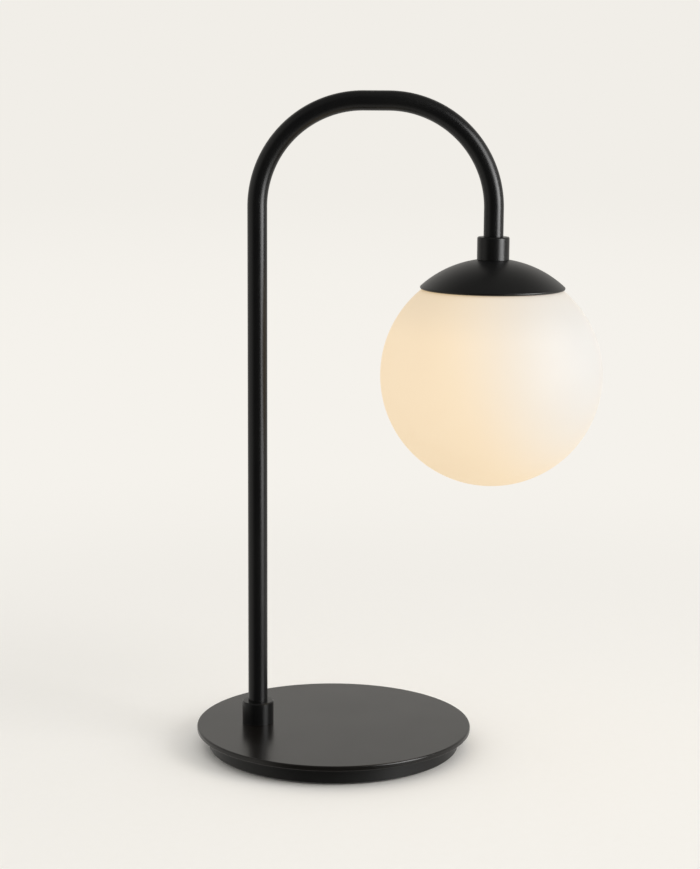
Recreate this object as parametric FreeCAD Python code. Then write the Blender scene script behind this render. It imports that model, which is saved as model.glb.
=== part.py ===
import FreeCAD, Part
import math
import os

from FreeCAD import Vector

# A table lamp: a round weighted base, a bent tube that rises from one side of it and
# arches over, and an opal glass globe that screws up into a domed cap under the tube's end.
# Millimetres. The origin is the middle of the base on the table, +Z is up, and +X runs from
# the stem to the globe. The cord inlet is at the back, towards +Y.

# Base
PLATE_RADIUS = 114.0
PLATE_THICKNESS = 4.0
PLATE_TOP = 19.0
PLATE_EDGE_ROUND = 1.2
PLATE_UNDER_ROUND = 0.6
BODY_RADIUS = 104.0
BODY_EDGE = 0.8
PAD_RADIUS = 100.0
PAD_THICKNESS = 1.2
COVER_RADIUS = 94.5
COVER_THICKNESS = 1.5
COVER_PLAY = 0.3

# How far a cutter runs past the face that it opens
BEYOND = 1.0

# Stem and arch
TUBE_RADIUS = 8.0
TUBE_WALL = 1.2
STEM_OFFSET = 63.5
SPAN = 190.0
BEND_RADIUS = 85.0
ARCH_TOP = 533.5
COLLAR_RADIUS = 13.0
COLLAR_HEIGHT = 18.3
COLLAR_EDGE = 0.8
COLLAR_FLOOR = 3.0
COLLAR_BORE_PLAY = 0.05

# Fixings on the hollow threaded nipples, thread M10 x 1
NIPPLE_RADIUS = 5.0
NIPPLE_BORE = 3.5
NIPPLE_HOLE = 5.2
NIPPLE_SHORT_OF_BUSHING = 4.0
NUT_FLATS = 14.0
NUT_HEIGHT = 2.5
NUT_BEVEL_SHARE = 0.12
NUT_FACE_SHARE = 0.48
WASHER_RADIUS = 11.0
WASHER_THICKNESS = 1.5
BUSHING_LENGTH = 20.0
GRUB_RADIUS = 2.0
GRUB_LENGTH = 4.2
GRUB_SOCKET = 1.0
GRUB_SOCKET_DEPTH = 1.8
GRUB_RISE = 8.0

# Cap: a spun steel dome with a rolled rim, nearly concentric with the globe
CAP_SPHERE = 86.3
CAP_RIM_RADIUS = 58.5
CAP_RIM_HEIGHT = 385.2
CAP_BEAD = 1.2
CAP_BEAD_OVERLAP = 0.7
CAP_WALL = 1.2
CAP_LAND_RADIUS = 11.7

# Globe: blown opal glass with a sunk shoulder and a screw neck
GLOBE_RADIUS = 90.0
GLOBE_HEIGHT = 313.8
GLOBE_WALL = 3.0
SHOULDER_DROP = 0.8
SHOULDER_ROUND = 5.0
NECK_RADIUS = 40.0
NECK_TOP_GAP = 1.0
NECK_ROOT_ROUND = 2.0

# Gallery: the threaded ring inside the cap that takes the globe's neck
GALLERY_WALL = 1.0
GALLERY_GAP = 0.3
GALLERY_BORE = 41.0
GASKET_OUTER = 46.0
GASKET_THICKNESS = 1.9
GASKET_PLAY = 0.1
GASKET_ROOT_PLAY = 0.3

# Lamp holder and bulb, screw size E27
HOLDER_RADIUS = 19.5
HOLDER_CAP_HEIGHT = 19.0
HOLDER_LENGTH = 51.0
HOLDER_WALL = 2.2
HOLDER_SHOULDER = 8.0
HOLDER_BOSS_WALL = 2.5
HOLDER_BOSS_HEIGHT = 8.0
HOLDER_NIPPLE_DEPTH = 7.0
HOLDER_LIP_BEVEL = 1.0
HOLDER_LIP_HEIGHT = 2.0
HOLDER_LIP_PLAY = 0.3
HOLDER_GROOVE_DROP = 3.0
HOLDER_GROOVE_ROUND = 0.9
HOLDER_GROOVE_OFFSET = 0.4
CORE_RISE = 6.0
CORE_DROP = 4.0
CORE_STEP = 4.0
CORE_PLAY = 0.2
HOLDER_TERMINAL_REACH = 9.0
HOLDER_TERMINAL_RADIUS = 1.5
HOLDER_TERMINAL_DEPTH = 5.0
HOLDER_TERMINAL_HEAD = 2.6
HOLDER_TERMINAL_HEAD_HEIGHT = 1.6
HOLDER_TERMINAL_SLOT = 0.7
SHELL_BORE = 13.4
SHELL_WALL = 0.4
SHELL_ABOVE_MOUTH = 3.0
CONTACT_WIDTH = 5.0
CONTACT_THICKNESS = 0.4
CONTACT_ROOT = 9.0
CONTACT_KNEE = 5.0
CONTACT_REACH = 3.0
CONTACT_DIP = 1.0
CONTACT_TO_BULB = 1.6
BULB_CAP_RADIUS = 13.1
BULB_CAP_LENGTH = 21.0
BULB_CAP_WALL = 0.3
BULB_CAP_BEVEL = 1.5
BULB_CAP_CRIMP = 0.6
BULB_TIP_HEIGHT = 4.0
BULB_TIP_RADIUS = 9.0
BULB_CONTACT_RADIUS = 4.8
BULB_CONTACT_FACE = 3.0
BULB_CONTACT_RISE = 0.8
BULB_RADIUS = 30.0
BULB_SHOULDER_LEAN = 30.0
BULB_THROAT = 16.0
BULB_NECK_RADIUS = 12.8
BULB_NECK_IN_CAP = 3.0
BULB_LENGTH = 107.0
BULB_WALL = 0.8

# Leads inside the tube
LEAD_RADIUS = 1.2
LEAD_SPACING = 1.3
LEAD_BASE_BEND = 6.0
LEAD_BASE_HEIGHT = 5.4
LEAD_SPREAD_START = -26.0
LEAD_SPREAD_END = -38.0
LEAD_STRAIGHT_END = -50.0
LEAD_CLIMB_START = 30.0

# Terminal block in the base
TERMINAL_HEIGHT = 7.4
TERMINAL_SCREW_RADIUS = 1.5
TERMINAL_SCREW_RECESS = 0.6
TERMINAL_SCREW_SLOT = 0.6
TERMINAL_REACH = 6.5
TERMINAL_PITCH = 4.0
TERMINAL_PLAY = 0.1
WIRE_HOLE_RADIUS = 1.5
BLOCK_LENGTH = 22.0
BLOCK_WIDTH = 17.0
BLOCK_HEIGHT = 8.0
BLOCK_CORNER = 1.5
BLOCK_BOTTOM = 3.2
BLOCK_SCREW_RADIUS = 1.5
BLOCK_SCREW_PLAY = 0.2
BLOCK_SCREW_HEAD = 2.1
BLOCK_SCREW_HEAD_HEIGHT = 1.6
BLOCK_SCREW_SOCKET = 0.8
BLOCK_SCREW_SOCKET_DEPTH = 1.0
BLOCK_SCREW_END = 13.8

# Places in the base
STUD_CIRCLE = 78.0
STUD_RADIUS = 2.5
STUD_PLAY = 0.3
STUD_ABOVE_COVER = 1.0
STUD_WELD_DEPTH = 1.0
STUD_WASHER_RADIUS = 5.0
STUD_WASHER_PLAY = 0.2
STUD_WASHER_THICKNESS = 1.0
STUD_NUT_FLATS = 8.0
STUD_NUT_HEIGHT = 4.0
STUD_ANGLES = (0, 120, 240)
COVER_SCREW_CIRCLE = 86.0
COVER_SCREW_RADIUS = 2.0
COVER_SCREW_HEAD = 3.9
COVER_SCREW_DEPTH = 8.0
COVER_SCREW_SHORT_OF_HOLE = 1.0
COVER_SCREW_SOCKET = 2.5
COVER_SCREW_ANGLES = (45, 135, 225, 315)
STEM_POCKET_RADIUS = 18.0
STEM_POCKET_TOP = 11.5
STUD_POCKET_RADIUS = 8.0
STUD_POCKET_TOP = 9.0
WIRING_ROOM_LENGTH = 38.0
WIRING_ROOM_WIDTH = 29.0
WIRING_ROOM_CORNER = 5.0
STEM_CHANNEL_WIDTH = 14.0
STEM_CHANNEL_ROOF = 2.0
INLET_CHANNEL_WIDTH = 12.0
INLET_CHANNEL_ROOF = 2.0
INLET_HEIGHT = 8.1
INLET_BORE = 3.5
INLET_SLEEVE = 5.0
INLET_FLANGE = 6.4
INLET_SLEEVE_LENGTH = 12.0
INLET_HOLE_DEPTH = 20.0
INLET_SPOTFACE = 1.0
INLET_SPOTFACE_PLAY = 0.2
INLET_PROUD = 1.0
INLET_MOUTH_ROUND = 0.7

# Worked out from the sizes above
STEM_X = -STEM_OFFSET
GLOBE_X = SPAN - STEM_OFFSET
PLATE_BOTTOM = PLATE_TOP - PLATE_THICKNESS
COVER_TOP = PAD_THICKNESS + COVER_THICKNESS
TUBE_BORE = TUBE_RADIUS - TUBE_WALL
INLET_SEAT = BODY_RADIUS - INLET_SPOTFACE
GLAND_FACE = BODY_RADIUS + INLET_PROUD
BLOCK_TOP = BLOCK_BOTTOM + BLOCK_HEIGHT
CAP_CENTRE = CAP_RIM_HEIGHT - math.sqrt(
    (CAP_SPHERE - CAP_BEAD) ** 2 - (CAP_RIM_RADIUS - CAP_BEAD) ** 2
)
CAP_LAND = CAP_CENTRE + math.sqrt(CAP_SPHERE**2 - CAP_LAND_RADIUS**2)
CAP_UNDER = CAP_LAND - CAP_WALL
TUBE_END = CAP_LAND + COLLAR_FLOOR
GALLERY_TOP = CAP_UNDER
GALLERY_UNDER = GALLERY_TOP - GALLERY_WALL
HOLDER_TOP = GALLERY_UNDER - NUT_HEIGHT
HOLDER_SPLIT = HOLDER_TOP - HOLDER_CAP_HEIGHT
HOLDER_MOUTH = HOLDER_TOP - HOLDER_LENGTH
SHOULDER_TOP = CAP_RIM_HEIGHT - SHOULDER_DROP
GASKET_BOTTOM = SHOULDER_TOP + GASKET_PLAY
GASKET_TOP = GASKET_BOTTOM + GASKET_THICKNESS
GALLERY_BOTTOM = GASKET_TOP + GASKET_PLAY
CORE_TOP = HOLDER_SPLIT + CORE_RISE
CORE_BOTTOM = HOLDER_SPLIT - CORE_DROP
BULB_TIP = CORE_BOTTOM - CONTACT_TO_BULB
BULB_CAP_TOP = BULB_TIP - BULB_TIP_HEIGHT
BULB_CAP_BOTTOM = BULB_CAP_TOP - BULB_CAP_LENGTH


def lathe(x, start, *steps):
    """Turned solid about the upright axis at x. A step is (r, z) for a straight
    line, or (r, z, r, z) for an arc through the first point to the second."""
    edges = []
    here = Vector(x + start[0], 0, start[1])
    first = here
    for step in steps:
        there = Vector(x + step[-2], 0, step[-1])
        if len(step) == 2:
            edges.append(Part.LineSegment(here, there).toShape())
        else:
            middle = Vector(x + step[0], 0, step[1])
            edges.append(Part.Arc(here, middle, there).toShape())
        here = there
    if (here - first).Length > 1e-6:
        edges.append(Part.LineSegment(here, first).toShape())
    face = Part.Face(Part.Wire(edges))
    solid = face.revolve(Vector(x, 0, 0), Vector(0, 0, 1), 360)
    if solid.Volume < 0:
        solid.reverse()
    return solid


def rod(x, y, radius, low, high):
    return Part.makeCylinder(radius, high - low, Vector(x, y, low))


def rod_along_y(x, z, radius, near, far):
    return Part.makeCylinder(radius, far - near, Vector(x, near, z), Vector(0, 1, 0))


def ring(x, y, outer, inner, low, high):
    return rod(x, y, outer, low, high).cut(rod(x, y, inner, low, high))


def block(x_range, y_range, z_range):
    size = [b - a for a, b in (x_range, y_range, z_range)]
    return Part.makeBox(*size, Vector(x_range[0], y_range[0], z_range[0]))


def slot(x, y, head_radius, width, low):
    """Straight slot as deep as it is wide, right across a screw's head."""
    half_length = head_radius + BEYOND
    half_width = width / 2
    return block(
        (x - half_length, x + half_length), (y - half_width, y + half_width), (low, low + width)
    )


def around(radius, angles):
    """Points on a circle about the middle of the base."""
    for angle in angles:
        turn = math.radians(angle)
        yield radius * math.cos(turn), radius * math.sin(turn)


def hexagon(x, y, flats, low, high):
    corner = flats / math.sqrt(3)
    turns = [math.radians(60 * k) for k in range(7)]
    points = [Vector(x + corner * math.cos(t), y + corner * math.sin(t), low) for t in turns]
    return Part.Face(Part.makePolygon(points)).extrude(Vector(0, 0, high - low))


def hex_nut(x, y, flats, bore, low, high):
    """Nut with its corners turned off at both faces."""
    bevel = NUT_BEVEL_SHARE * flats
    flat_radius = NUT_FACE_SHARE * flats
    barrel = lathe(
        x,
        (0, low),
        (flat_radius, low),
        (flat_radius + bevel, low + bevel / 2),
        (flat_radius + bevel, high - bevel / 2),
        (flat_radius, high),
        (0, high),
    )
    barrel.translate(Vector(0, y, 0))
    return hexagon(x, y, flats, low, high).common(barrel).cut(rod(x, y, bore, low, high))


def on_ball(radius, centre, r):
    """Height of the upper half of a ball at the distance r from its axis."""
    return centre + math.sqrt(radius**2 - r**2)


def ball_arc(radius, centre, start_r, end_r):
    """Arc step along the upper half of a ball."""
    middle = (math.asin(start_r / radius) + math.asin(end_r / radius)) / 2
    return (
        radius * math.sin(middle),
        centre + radius * math.cos(middle),
        end_r,
        on_ball(radius, centre, end_r),
    )


def route(points, bend):
    """Wire through the points, with each corner rounded to the bend radius."""
    edges = []
    here = points[0]
    for before, corner, after in zip(points, points[1:], points[2:]):
        way_in = (corner - before).normalize()
        way_out = (after - corner).normalize()
        turn = way_in.getAngle(way_out)
        reach = bend * math.tan(turn / 2)
        start = corner - way_in * reach
        end = corner + way_out * reach
        inward = (way_out - way_in).normalize()
        middle = corner + inward * (bend / math.cos(turn / 2) - bend)
        edges.append(Part.LineSegment(here, start).toShape())
        edges.append(Part.Arc(start, middle, end).toShape())
        here = end
    edges.append(Part.LineSegment(here, points[-1]).toShape())
    return Part.Wire(edges)


def pipe(wire, radius):
    """Solid round bar along a wire, compared with its section times its length."""
    start = wire.Vertexes[0].Point
    first = wire.Edges[0]
    way = (first.Vertexes[1].Point - start).normalize()
    section = Part.Wire(Part.Circle(start, way, radius).toShape())
    solid = wire.makePipeShell([section], True, False)
    expected = math.pi * radius**2 * wire.Length
    if abs(solid.Volume / expected - 1) > 0.002:
        raise ValueError("the bar has the wrong volume")
    return solid


# The pieces of the base


def base_plate():
    """Steel disc with a soft edge and three studs welded underneath."""
    top = PLATE_TOP
    edge = PLATE_RADIUS
    soft = PLATE_EDGE_ROUND
    under = PLATE_UNDER_ROUND
    reach = math.sqrt(0.5)
    plate = lathe(
        0,
        (0, PLATE_BOTTOM),
        (edge - under, PLATE_BOTTOM),
        (edge - under * (1 - reach), PLATE_BOTTOM + under * (1 - reach), edge, PLATE_BOTTOM + under),
        (edge, top - soft),
        (edge - soft * (1 - reach), top - soft * (1 - reach), edge - soft, top),
        (0, top),
    )
    plate = plate.cut(rod(STEM_X, 0, NIPPLE_HOLE, PLATE_BOTTOM, PLATE_TOP))
    for x, y in around(STUD_CIRCLE, STUD_ANGLES):
        low = COVER_TOP + STUD_ABOVE_COVER
        plate = plate.fuse(rod(x, y, STUD_RADIUS, low, PLATE_BOTTOM + STUD_WELD_DEPTH))
    return plate


def base_body():
    """Cast iron weight with pockets and channels cast into its underside."""
    body = lathe(
        0,
        (0, PAD_THICKNESS),
        (BODY_RADIUS - BODY_EDGE, PAD_THICKNESS),
        (BODY_RADIUS, PAD_THICKNESS + BODY_EDGE),
        (BODY_RADIUS, PLATE_BOTTOM),
        (0, PLATE_BOTTOM),
    )
    body = body.cut(rod(0, 0, COVER_RADIUS + COVER_PLAY, PAD_THICKNESS, COVER_TOP))
    body = body.cut(rod(STEM_X, 0, STEM_POCKET_RADIUS, COVER_TOP, STEM_POCKET_TOP))
    body = body.cut(rod(STEM_X, 0, NIPPLE_HOLE, STEM_POCKET_TOP, PLATE_BOTTOM))
    for x, y in around(STUD_CIRCLE, STUD_ANGLES):
        body = body.cut(rod(x, y, STUD_POCKET_RADIUS, COVER_TOP, STUD_POCKET_TOP))
        body = body.cut(rod(x, y, STUD_RADIUS + STUD_PLAY, STUD_POCKET_TOP, PLATE_BOTTOM))
    for x, y in around(COVER_SCREW_CIRCLE, COVER_SCREW_ANGLES):
        body = body.cut(rod(x, y, COVER_SCREW_RADIUS, COVER_TOP, COVER_TOP + COVER_SCREW_DEPTH))
    block_hole = rod(0, 0, BLOCK_SCREW_RADIUS, BLOCK_TOP, BLOCK_SCREW_END)
    return body.cut(wiring_space()).cut(inlet_hole()).cut(block_hole)


def wiring_space():
    """Pocket for the terminal block, with channels to the stem and to the inlet."""
    room = rounded_slab(
        WIRING_ROOM_LENGTH, WIRING_ROOM_WIDTH, WIRING_ROOM_CORNER, COVER_TOP, BLOCK_TOP
    )
    half = STEM_CHANNEL_WIDTH / 2
    roof = STEM_POCKET_TOP - STEM_CHANNEL_ROOF
    stem_channel = block((STEM_X, 0), (-half, half), (COVER_TOP, roof))
    half = INLET_CHANNEL_WIDTH / 2
    roof = PLATE_BOTTOM - INLET_CHANNEL_ROOF
    inlet_inner = BODY_RADIUS - INLET_SLEEVE_LENGTH
    inlet_channel = block((-half, half), (0, inlet_inner), (COVER_TOP, roof))
    return room.fuse(stem_channel).fuse(inlet_channel)


def rounded_slab(length, width, corner, low, high):
    slab = block((-length / 2, length / 2), (-width / 2, width / 2), (low, high))
    upright = [e for e in slab.Edges if abs(e.Vertexes[0].Z - e.Vertexes[1].Z) > 1e-6]
    return slab.makeFillet(corner, upright)


def inlet_hole():
    outside = BODY_RADIUS + BEYOND
    inside = INLET_SEAT - INLET_HOLE_DEPTH
    sleeve = rod_along_y(0, INLET_HEIGHT, INLET_SLEEVE, inside, outside)
    seat_radius = INLET_FLANGE + INLET_SPOTFACE_PLAY
    seat = rod_along_y(0, INLET_HEIGHT, seat_radius, INLET_SEAT, outside)
    return sleeve.fuse(seat)


def plate_washers():
    low = STUD_POCKET_TOP - STUD_WASHER_THICKNESS
    bore = STUD_RADIUS + STUD_WASHER_PLAY
    return Part.Compound([
        ring(x, y, STUD_WASHER_RADIUS, bore, low, STUD_POCKET_TOP)
        for x, y in around(STUD_CIRCLE, STUD_ANGLES)
    ])


def plate_nuts():
    high = STUD_POCKET_TOP - STUD_WASHER_THICKNESS
    return Part.Compound([
        hex_nut(x, y, STUD_NUT_FLATS, STUD_RADIUS, high - STUD_NUT_HEIGHT, high)
        for x, y in around(STUD_CIRCLE, STUD_ANGLES)
    ])


def countersunk(x, y, end):
    """Cover screw up to the height end, its head level with the cover."""
    screw = lathe(
        0,
        (0, PAD_THICKNESS),
        (COVER_SCREW_HEAD, PAD_THICKNESS),
        (COVER_SCREW_RADIUS, COVER_TOP),
        (COVER_SCREW_RADIUS, end),
        (0, end),
    )
    screw.translate(Vector(x, y, 0))
    return screw


def bottom_cover():
    """Sheet steel cover over the wiring, let into the underside of the body."""
    cover = rod(0, 0, COVER_RADIUS, PAD_THICKNESS, COVER_TOP)
    for x, y in around(COVER_SCREW_CIRCLE, COVER_SCREW_ANGLES):
        cover = cover.cut(countersunk(x, y, COVER_TOP + BEYOND))
    return cover


def cover_screws():
    end = COVER_TOP + COVER_SCREW_DEPTH - COVER_SCREW_SHORT_OF_HOLE
    screws = []
    for x, y in around(COVER_SCREW_CIRCLE, COVER_SCREW_ANGLES):
        socket = hexagon(x, y, COVER_SCREW_SOCKET, 0, COVER_TOP)
        screws.append(countersunk(x, y, end).cut(socket))
    return Part.Compound(screws)


def base_pad():
    """Soft pad stuck over the whole underside; the lamp stands on it."""
    return rod(0, 0, PAD_RADIUS, 0, PAD_THICKNESS)


def cord_gland():
    """Flanged plastic bush pressed into the back of the base, with a rounded mouth."""
    inside = INLET_SEAT - INLET_SLEEVE_LENGTH
    sleeve = rod_along_y(0, INLET_HEIGHT, INLET_SLEEVE, inside, INLET_SEAT)
    flange = rod_along_y(0, INLET_HEIGHT, INLET_FLANGE, INLET_SEAT, GLAND_FACE)
    bore = rod_along_y(0, INLET_HEIGHT, INLET_BORE, inside - BEYOND, GLAND_FACE + BEYOND)
    gland = sleeve.fuse(flange).cut(bore)
    mouth = [
        e for e in gland.Edges
        if isinstance(e.Curve, Part.Circle) and abs(e.CenterOfMass.y - GLAND_FACE) < 1e-6
    ]
    return gland.makeFillet(INLET_MOUTH_ROUND, mouth)


def terminal_block():
    """Two-way connector with a wire hole through each way."""
    play = BLOCK_SCREW_PLAY
    seat = BLOCK_BOTTOM + BLOCK_SCREW_HEAD_HEIGHT
    body = rounded_slab(BLOCK_LENGTH, BLOCK_WIDTH, BLOCK_CORNER, BLOCK_BOTTOM, BLOCK_TOP)
    body = body.cut(rod(0, 0, BLOCK_SCREW_HEAD + play, BLOCK_BOTTOM, seat))
    body = body.cut(rod(0, 0, BLOCK_SCREW_RADIUS + play, BLOCK_BOTTOM, BLOCK_TOP))
    for y in (-TERMINAL_PITCH, TERMINAL_PITCH):
        centre = Vector(-BLOCK_LENGTH / 2, y, TERMINAL_HEIGHT)
        wire_hole = Part.makeCylinder(WIRE_HOLE_RADIUS, BLOCK_LENGTH, centre, Vector(1, 0, 0))
        body = body.cut(wire_hole)
    for x, y in terminal_places():
        radius = TERMINAL_SCREW_RADIUS + TERMINAL_PLAY
        body = body.cut(rod(x, y, radius, BLOCK_BOTTOM, TERMINAL_HEIGHT))
    return body


def terminal_places():
    for x in (-TERMINAL_REACH, TERMINAL_REACH):
        for y in (-TERMINAL_PITCH, TERMINAL_PITCH):
            yield x, y


def terminal_screws():
    low = BLOCK_BOTTOM + TERMINAL_SCREW_RECESS
    screws = []
    for x, y in terminal_places():
        screw = rod(x, y, TERMINAL_SCREW_RADIUS, low, TERMINAL_HEIGHT - LEAD_RADIUS)
        cut = slot(x, y, TERMINAL_SCREW_RADIUS, TERMINAL_SCREW_SLOT, low)
        screws.append(screw.cut(cut))
    return Part.Compound(screws)


def block_screw():
    """Holds the terminal block up against the roof of its pocket."""
    seat = BLOCK_BOTTOM + BLOCK_SCREW_HEAD_HEIGHT
    head = ring(0, 0, BLOCK_SCREW_HEAD, BLOCK_SCREW_SOCKET, BLOCK_BOTTOM, seat)
    low = BLOCK_BOTTOM + BLOCK_SCREW_SOCKET_DEPTH
    return head.fuse(rod(0, 0, BLOCK_SCREW_RADIUS, low, BLOCK_SCREW_END))


def stem_washer():
    low = STEM_POCKET_TOP - WASHER_THICKNESS
    return ring(STEM_X, 0, WASHER_RADIUS, NIPPLE_HOLE, low, STEM_POCKET_TOP)


def stem_nut():
    high = STEM_POCKET_TOP - WASHER_THICKNESS
    return hex_nut(STEM_X, 0, NUT_FLATS, NIPPLE_RADIUS, high - NUT_HEIGHT, high)


def lower_nipple():
    low = STEM_POCKET_TOP - WASHER_THICKNESS - NUT_HEIGHT
    high = PLATE_TOP + BUSHING_LENGTH - NIPPLE_SHORT_OF_BUSHING
    return ring(STEM_X, 0, NIPPLE_RADIUS, NIPPLE_BORE, low, high)


def lower_bushing():
    return ring(STEM_X, 0, TUBE_BORE, NIPPLE_RADIUS, PLATE_TOP, PLATE_TOP + BUSHING_LENGTH)


# The stem, its arch and the two collars


def collar(x, low, floor):
    """Turned sleeve over the tube's end, with a bevel round its top edge."""
    high = low + COLLAR_HEIGHT
    bore = TUBE_RADIUS + COLLAR_BORE_PLAY
    sleeve = lathe(
        x,
        (NIPPLE_HOLE if floor else bore, low),
        (COLLAR_RADIUS, low),
        (COLLAR_RADIUS, high - COLLAR_EDGE),
        (COLLAR_RADIUS - COLLAR_EDGE, high),
        (bore, high),
        (bore, low + floor),
        *([(NIPPLE_HOLE, low + floor)] if floor else []),
    )
    screw_hole = rod_along_y(x, low + floor + GRUB_RISE, GRUB_RADIUS, 0, COLLAR_RADIUS + BEYOND)
    return sleeve.cut(screw_hole)


def grub_screw(x, height):
    """Headless screw through the back of a collar, ending against the tube."""
    end = TUBE_RADIUS + GRUB_LENGTH
    screw = rod_along_y(x, height, GRUB_RADIUS, TUBE_RADIUS, end)
    touching = rod(x, 0, TUBE_RADIUS, height - 2 * GRUB_RADIUS, height + 2 * GRUB_RADIUS)
    socket = hexagon(0, 0, 2 * GRUB_SOCKET, 0, GRUB_SOCKET_DEPTH)
    socket.rotate(Vector(0, 0, 0), Vector(1, 0, 0), 90)
    socket.translate(Vector(x, end, height))
    return screw.cut(touching).cut(socket)


def foot_collar():
    return collar(STEM_X, PLATE_TOP, 0)


def foot_grub_screw():
    return grub_screw(STEM_X, PLATE_TOP + GRUB_RISE)


def upper_collar():
    return collar(GLOBE_X, CAP_LAND, COLLAR_FLOOR)


def upper_grub_screw():
    return grub_screw(GLOBE_X, CAP_LAND + COLLAR_FLOOR + GRUB_RISE)


def arch_route(low, end, y=0):
    """Up the stem, over the arch and down to the globe."""
    return [
        Vector(STEM_X, y, low),
        Vector(STEM_X, y, ARCH_TOP),
        Vector(GLOBE_X, y, ARCH_TOP),
        Vector(GLOBE_X, y, end),
    ]


def stem_tube():
    """One steel tube: upright stem, two quarter bends with a short flat between, short drop."""
    wire = route(arch_route(PLATE_TOP, TUBE_END), BEND_RADIUS)
    return pipe(wire, TUBE_RADIUS).cut(pipe(wire, TUBE_BORE))


def tube_leads():
    """Two insulated leads from the terminal block to the lamp holder."""
    leads = []
    for side in (-1, 1):
        spread = [
            Vector(-BLOCK_LENGTH / 2, side * TERMINAL_PITCH, TERMINAL_HEIGHT),
            Vector(LEAD_SPREAD_START, side * TERMINAL_PITCH, TERMINAL_HEIGHT),
            Vector(LEAD_SPREAD_END, side * LEAD_SPACING, LEAD_BASE_HEIGHT),
            Vector(LEAD_STRAIGHT_END, side * LEAD_SPACING, LEAD_BASE_HEIGHT),
        ]
        turn = [
            spread[-1],
            Vector(STEM_X, side * LEAD_SPACING, LEAD_BASE_HEIGHT),
            Vector(STEM_X, side * LEAD_SPACING, LEAD_CLIMB_START),
        ]
        climb = arch_route(LEAD_CLIMB_START, CORE_TOP, side * LEAD_SPACING)
        wires = (
            route(spread, 3 * LEAD_BASE_BEND),
            route(turn, LEAD_BASE_BEND),
            route(climb, BEND_RADIUS),
        )
        edges = [edge for wire in wires for edge in wire.Edges]
        leads.append(pipe(Part.Wire(edges), LEAD_RADIUS))
    return Part.Compound(leads)


def upper_bushing():
    return ring(GLOBE_X, 0, TUBE_BORE, NIPPLE_RADIUS, TUBE_END, TUBE_END + BUSHING_LENGTH)


def upper_nipple():
    low = HOLDER_TOP - HOLDER_NIPPLE_DEPTH
    high = TUBE_END + BUSHING_LENGTH - NIPPLE_SHORT_OF_BUSHING
    return ring(GLOBE_X, 0, NIPPLE_RADIUS, NIPPLE_BORE, low, high)


# The cap and the gallery inside it


def shade_cap():
    """Spun dome of even thickness, flat on top for the collar, with a rolled rim."""
    inner = CAP_SPHERE - CAP_WALL
    bead_r = CAP_RIM_RADIUS - CAP_BEAD
    lean = math.asin(bead_r / (CAP_SPHERE - CAP_BEAD))
    join = CAP_SPHERE * math.sin(lean)
    under_r = math.sqrt(inner**2 - (CAP_UNDER - CAP_CENTRE) ** 2)
    inner_join = inner * math.sin(lean - CAP_BEAD * CAP_BEAD_OVERLAP / inner)
    dome = lathe(
        GLOBE_X,
        (NIPPLE_HOLE, CAP_LAND),
        (CAP_LAND_RADIUS, CAP_LAND),
        ball_arc(CAP_SPHERE, CAP_CENTRE, CAP_LAND_RADIUS, join),
        (inner_join, on_ball(inner, CAP_CENTRE, inner_join)),
        ball_arc(inner, CAP_CENTRE, inner_join, under_r),
        (NIPPLE_HOLE, CAP_UNDER),
    )
    bead = Part.makeTorus(bead_r, CAP_BEAD, Vector(GLOBE_X, 0, CAP_RIM_HEIGHT))
    return dome.fuse(bead)


def globe_gallery():
    """Pressed cup under the cap whose skirt holds the globe's screw neck."""
    outer = CAP_SPHERE - CAP_WALL - GALLERY_GAP
    inner = outer - GALLERY_WALL
    skirt = GALLERY_BORE + GALLERY_WALL
    outer_flat = math.sqrt(outer**2 - (GALLERY_TOP - CAP_CENTRE) ** 2)
    inner_flat = math.sqrt(inner**2 - (GALLERY_UNDER - CAP_CENTRE) ** 2)
    return lathe(
        GLOBE_X,
        (NIPPLE_HOLE, GALLERY_TOP),
        (outer_flat, GALLERY_TOP),
        ball_arc(outer, CAP_CENTRE, outer_flat, skirt),
        (skirt, GALLERY_BOTTOM),
        (GALLERY_BORE, GALLERY_BOTTOM),
        (GALLERY_BORE, on_ball(inner, CAP_CENTRE, GALLERY_BORE)),
        ball_arc(inner, CAP_CENTRE, GALLERY_BORE, inner_flat),
        (NIPPLE_HOLE, GALLERY_UNDER),
    )


def pendant_nut():
    return hex_nut(GLOBE_X, 0, NUT_FLATS, NIPPLE_RADIUS, HOLDER_TOP, GALLERY_UNDER)


# The globe and its gasket


def shoulder(radius, height):
    """Arc steps that round a ball of this radius over into a flat shoulder."""
    soft = SHOULDER_ROUND
    rise = height - soft - GLOBE_HEIGHT
    centre_r = math.sqrt((radius - soft) ** 2 - rise**2)
    lean = math.atan2(centre_r, rise)
    start_r = radius * math.sin(lean)
    start = (start_r, GLOBE_HEIGHT + radius * math.cos(lean))
    middle = (
        centre_r + soft * math.sin(lean / 2),
        height - soft + soft * math.cos(lean / 2),
    )
    belly = (radius, GLOBE_HEIGHT)
    return [belly + start, middle + (centre_r, height)]


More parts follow.
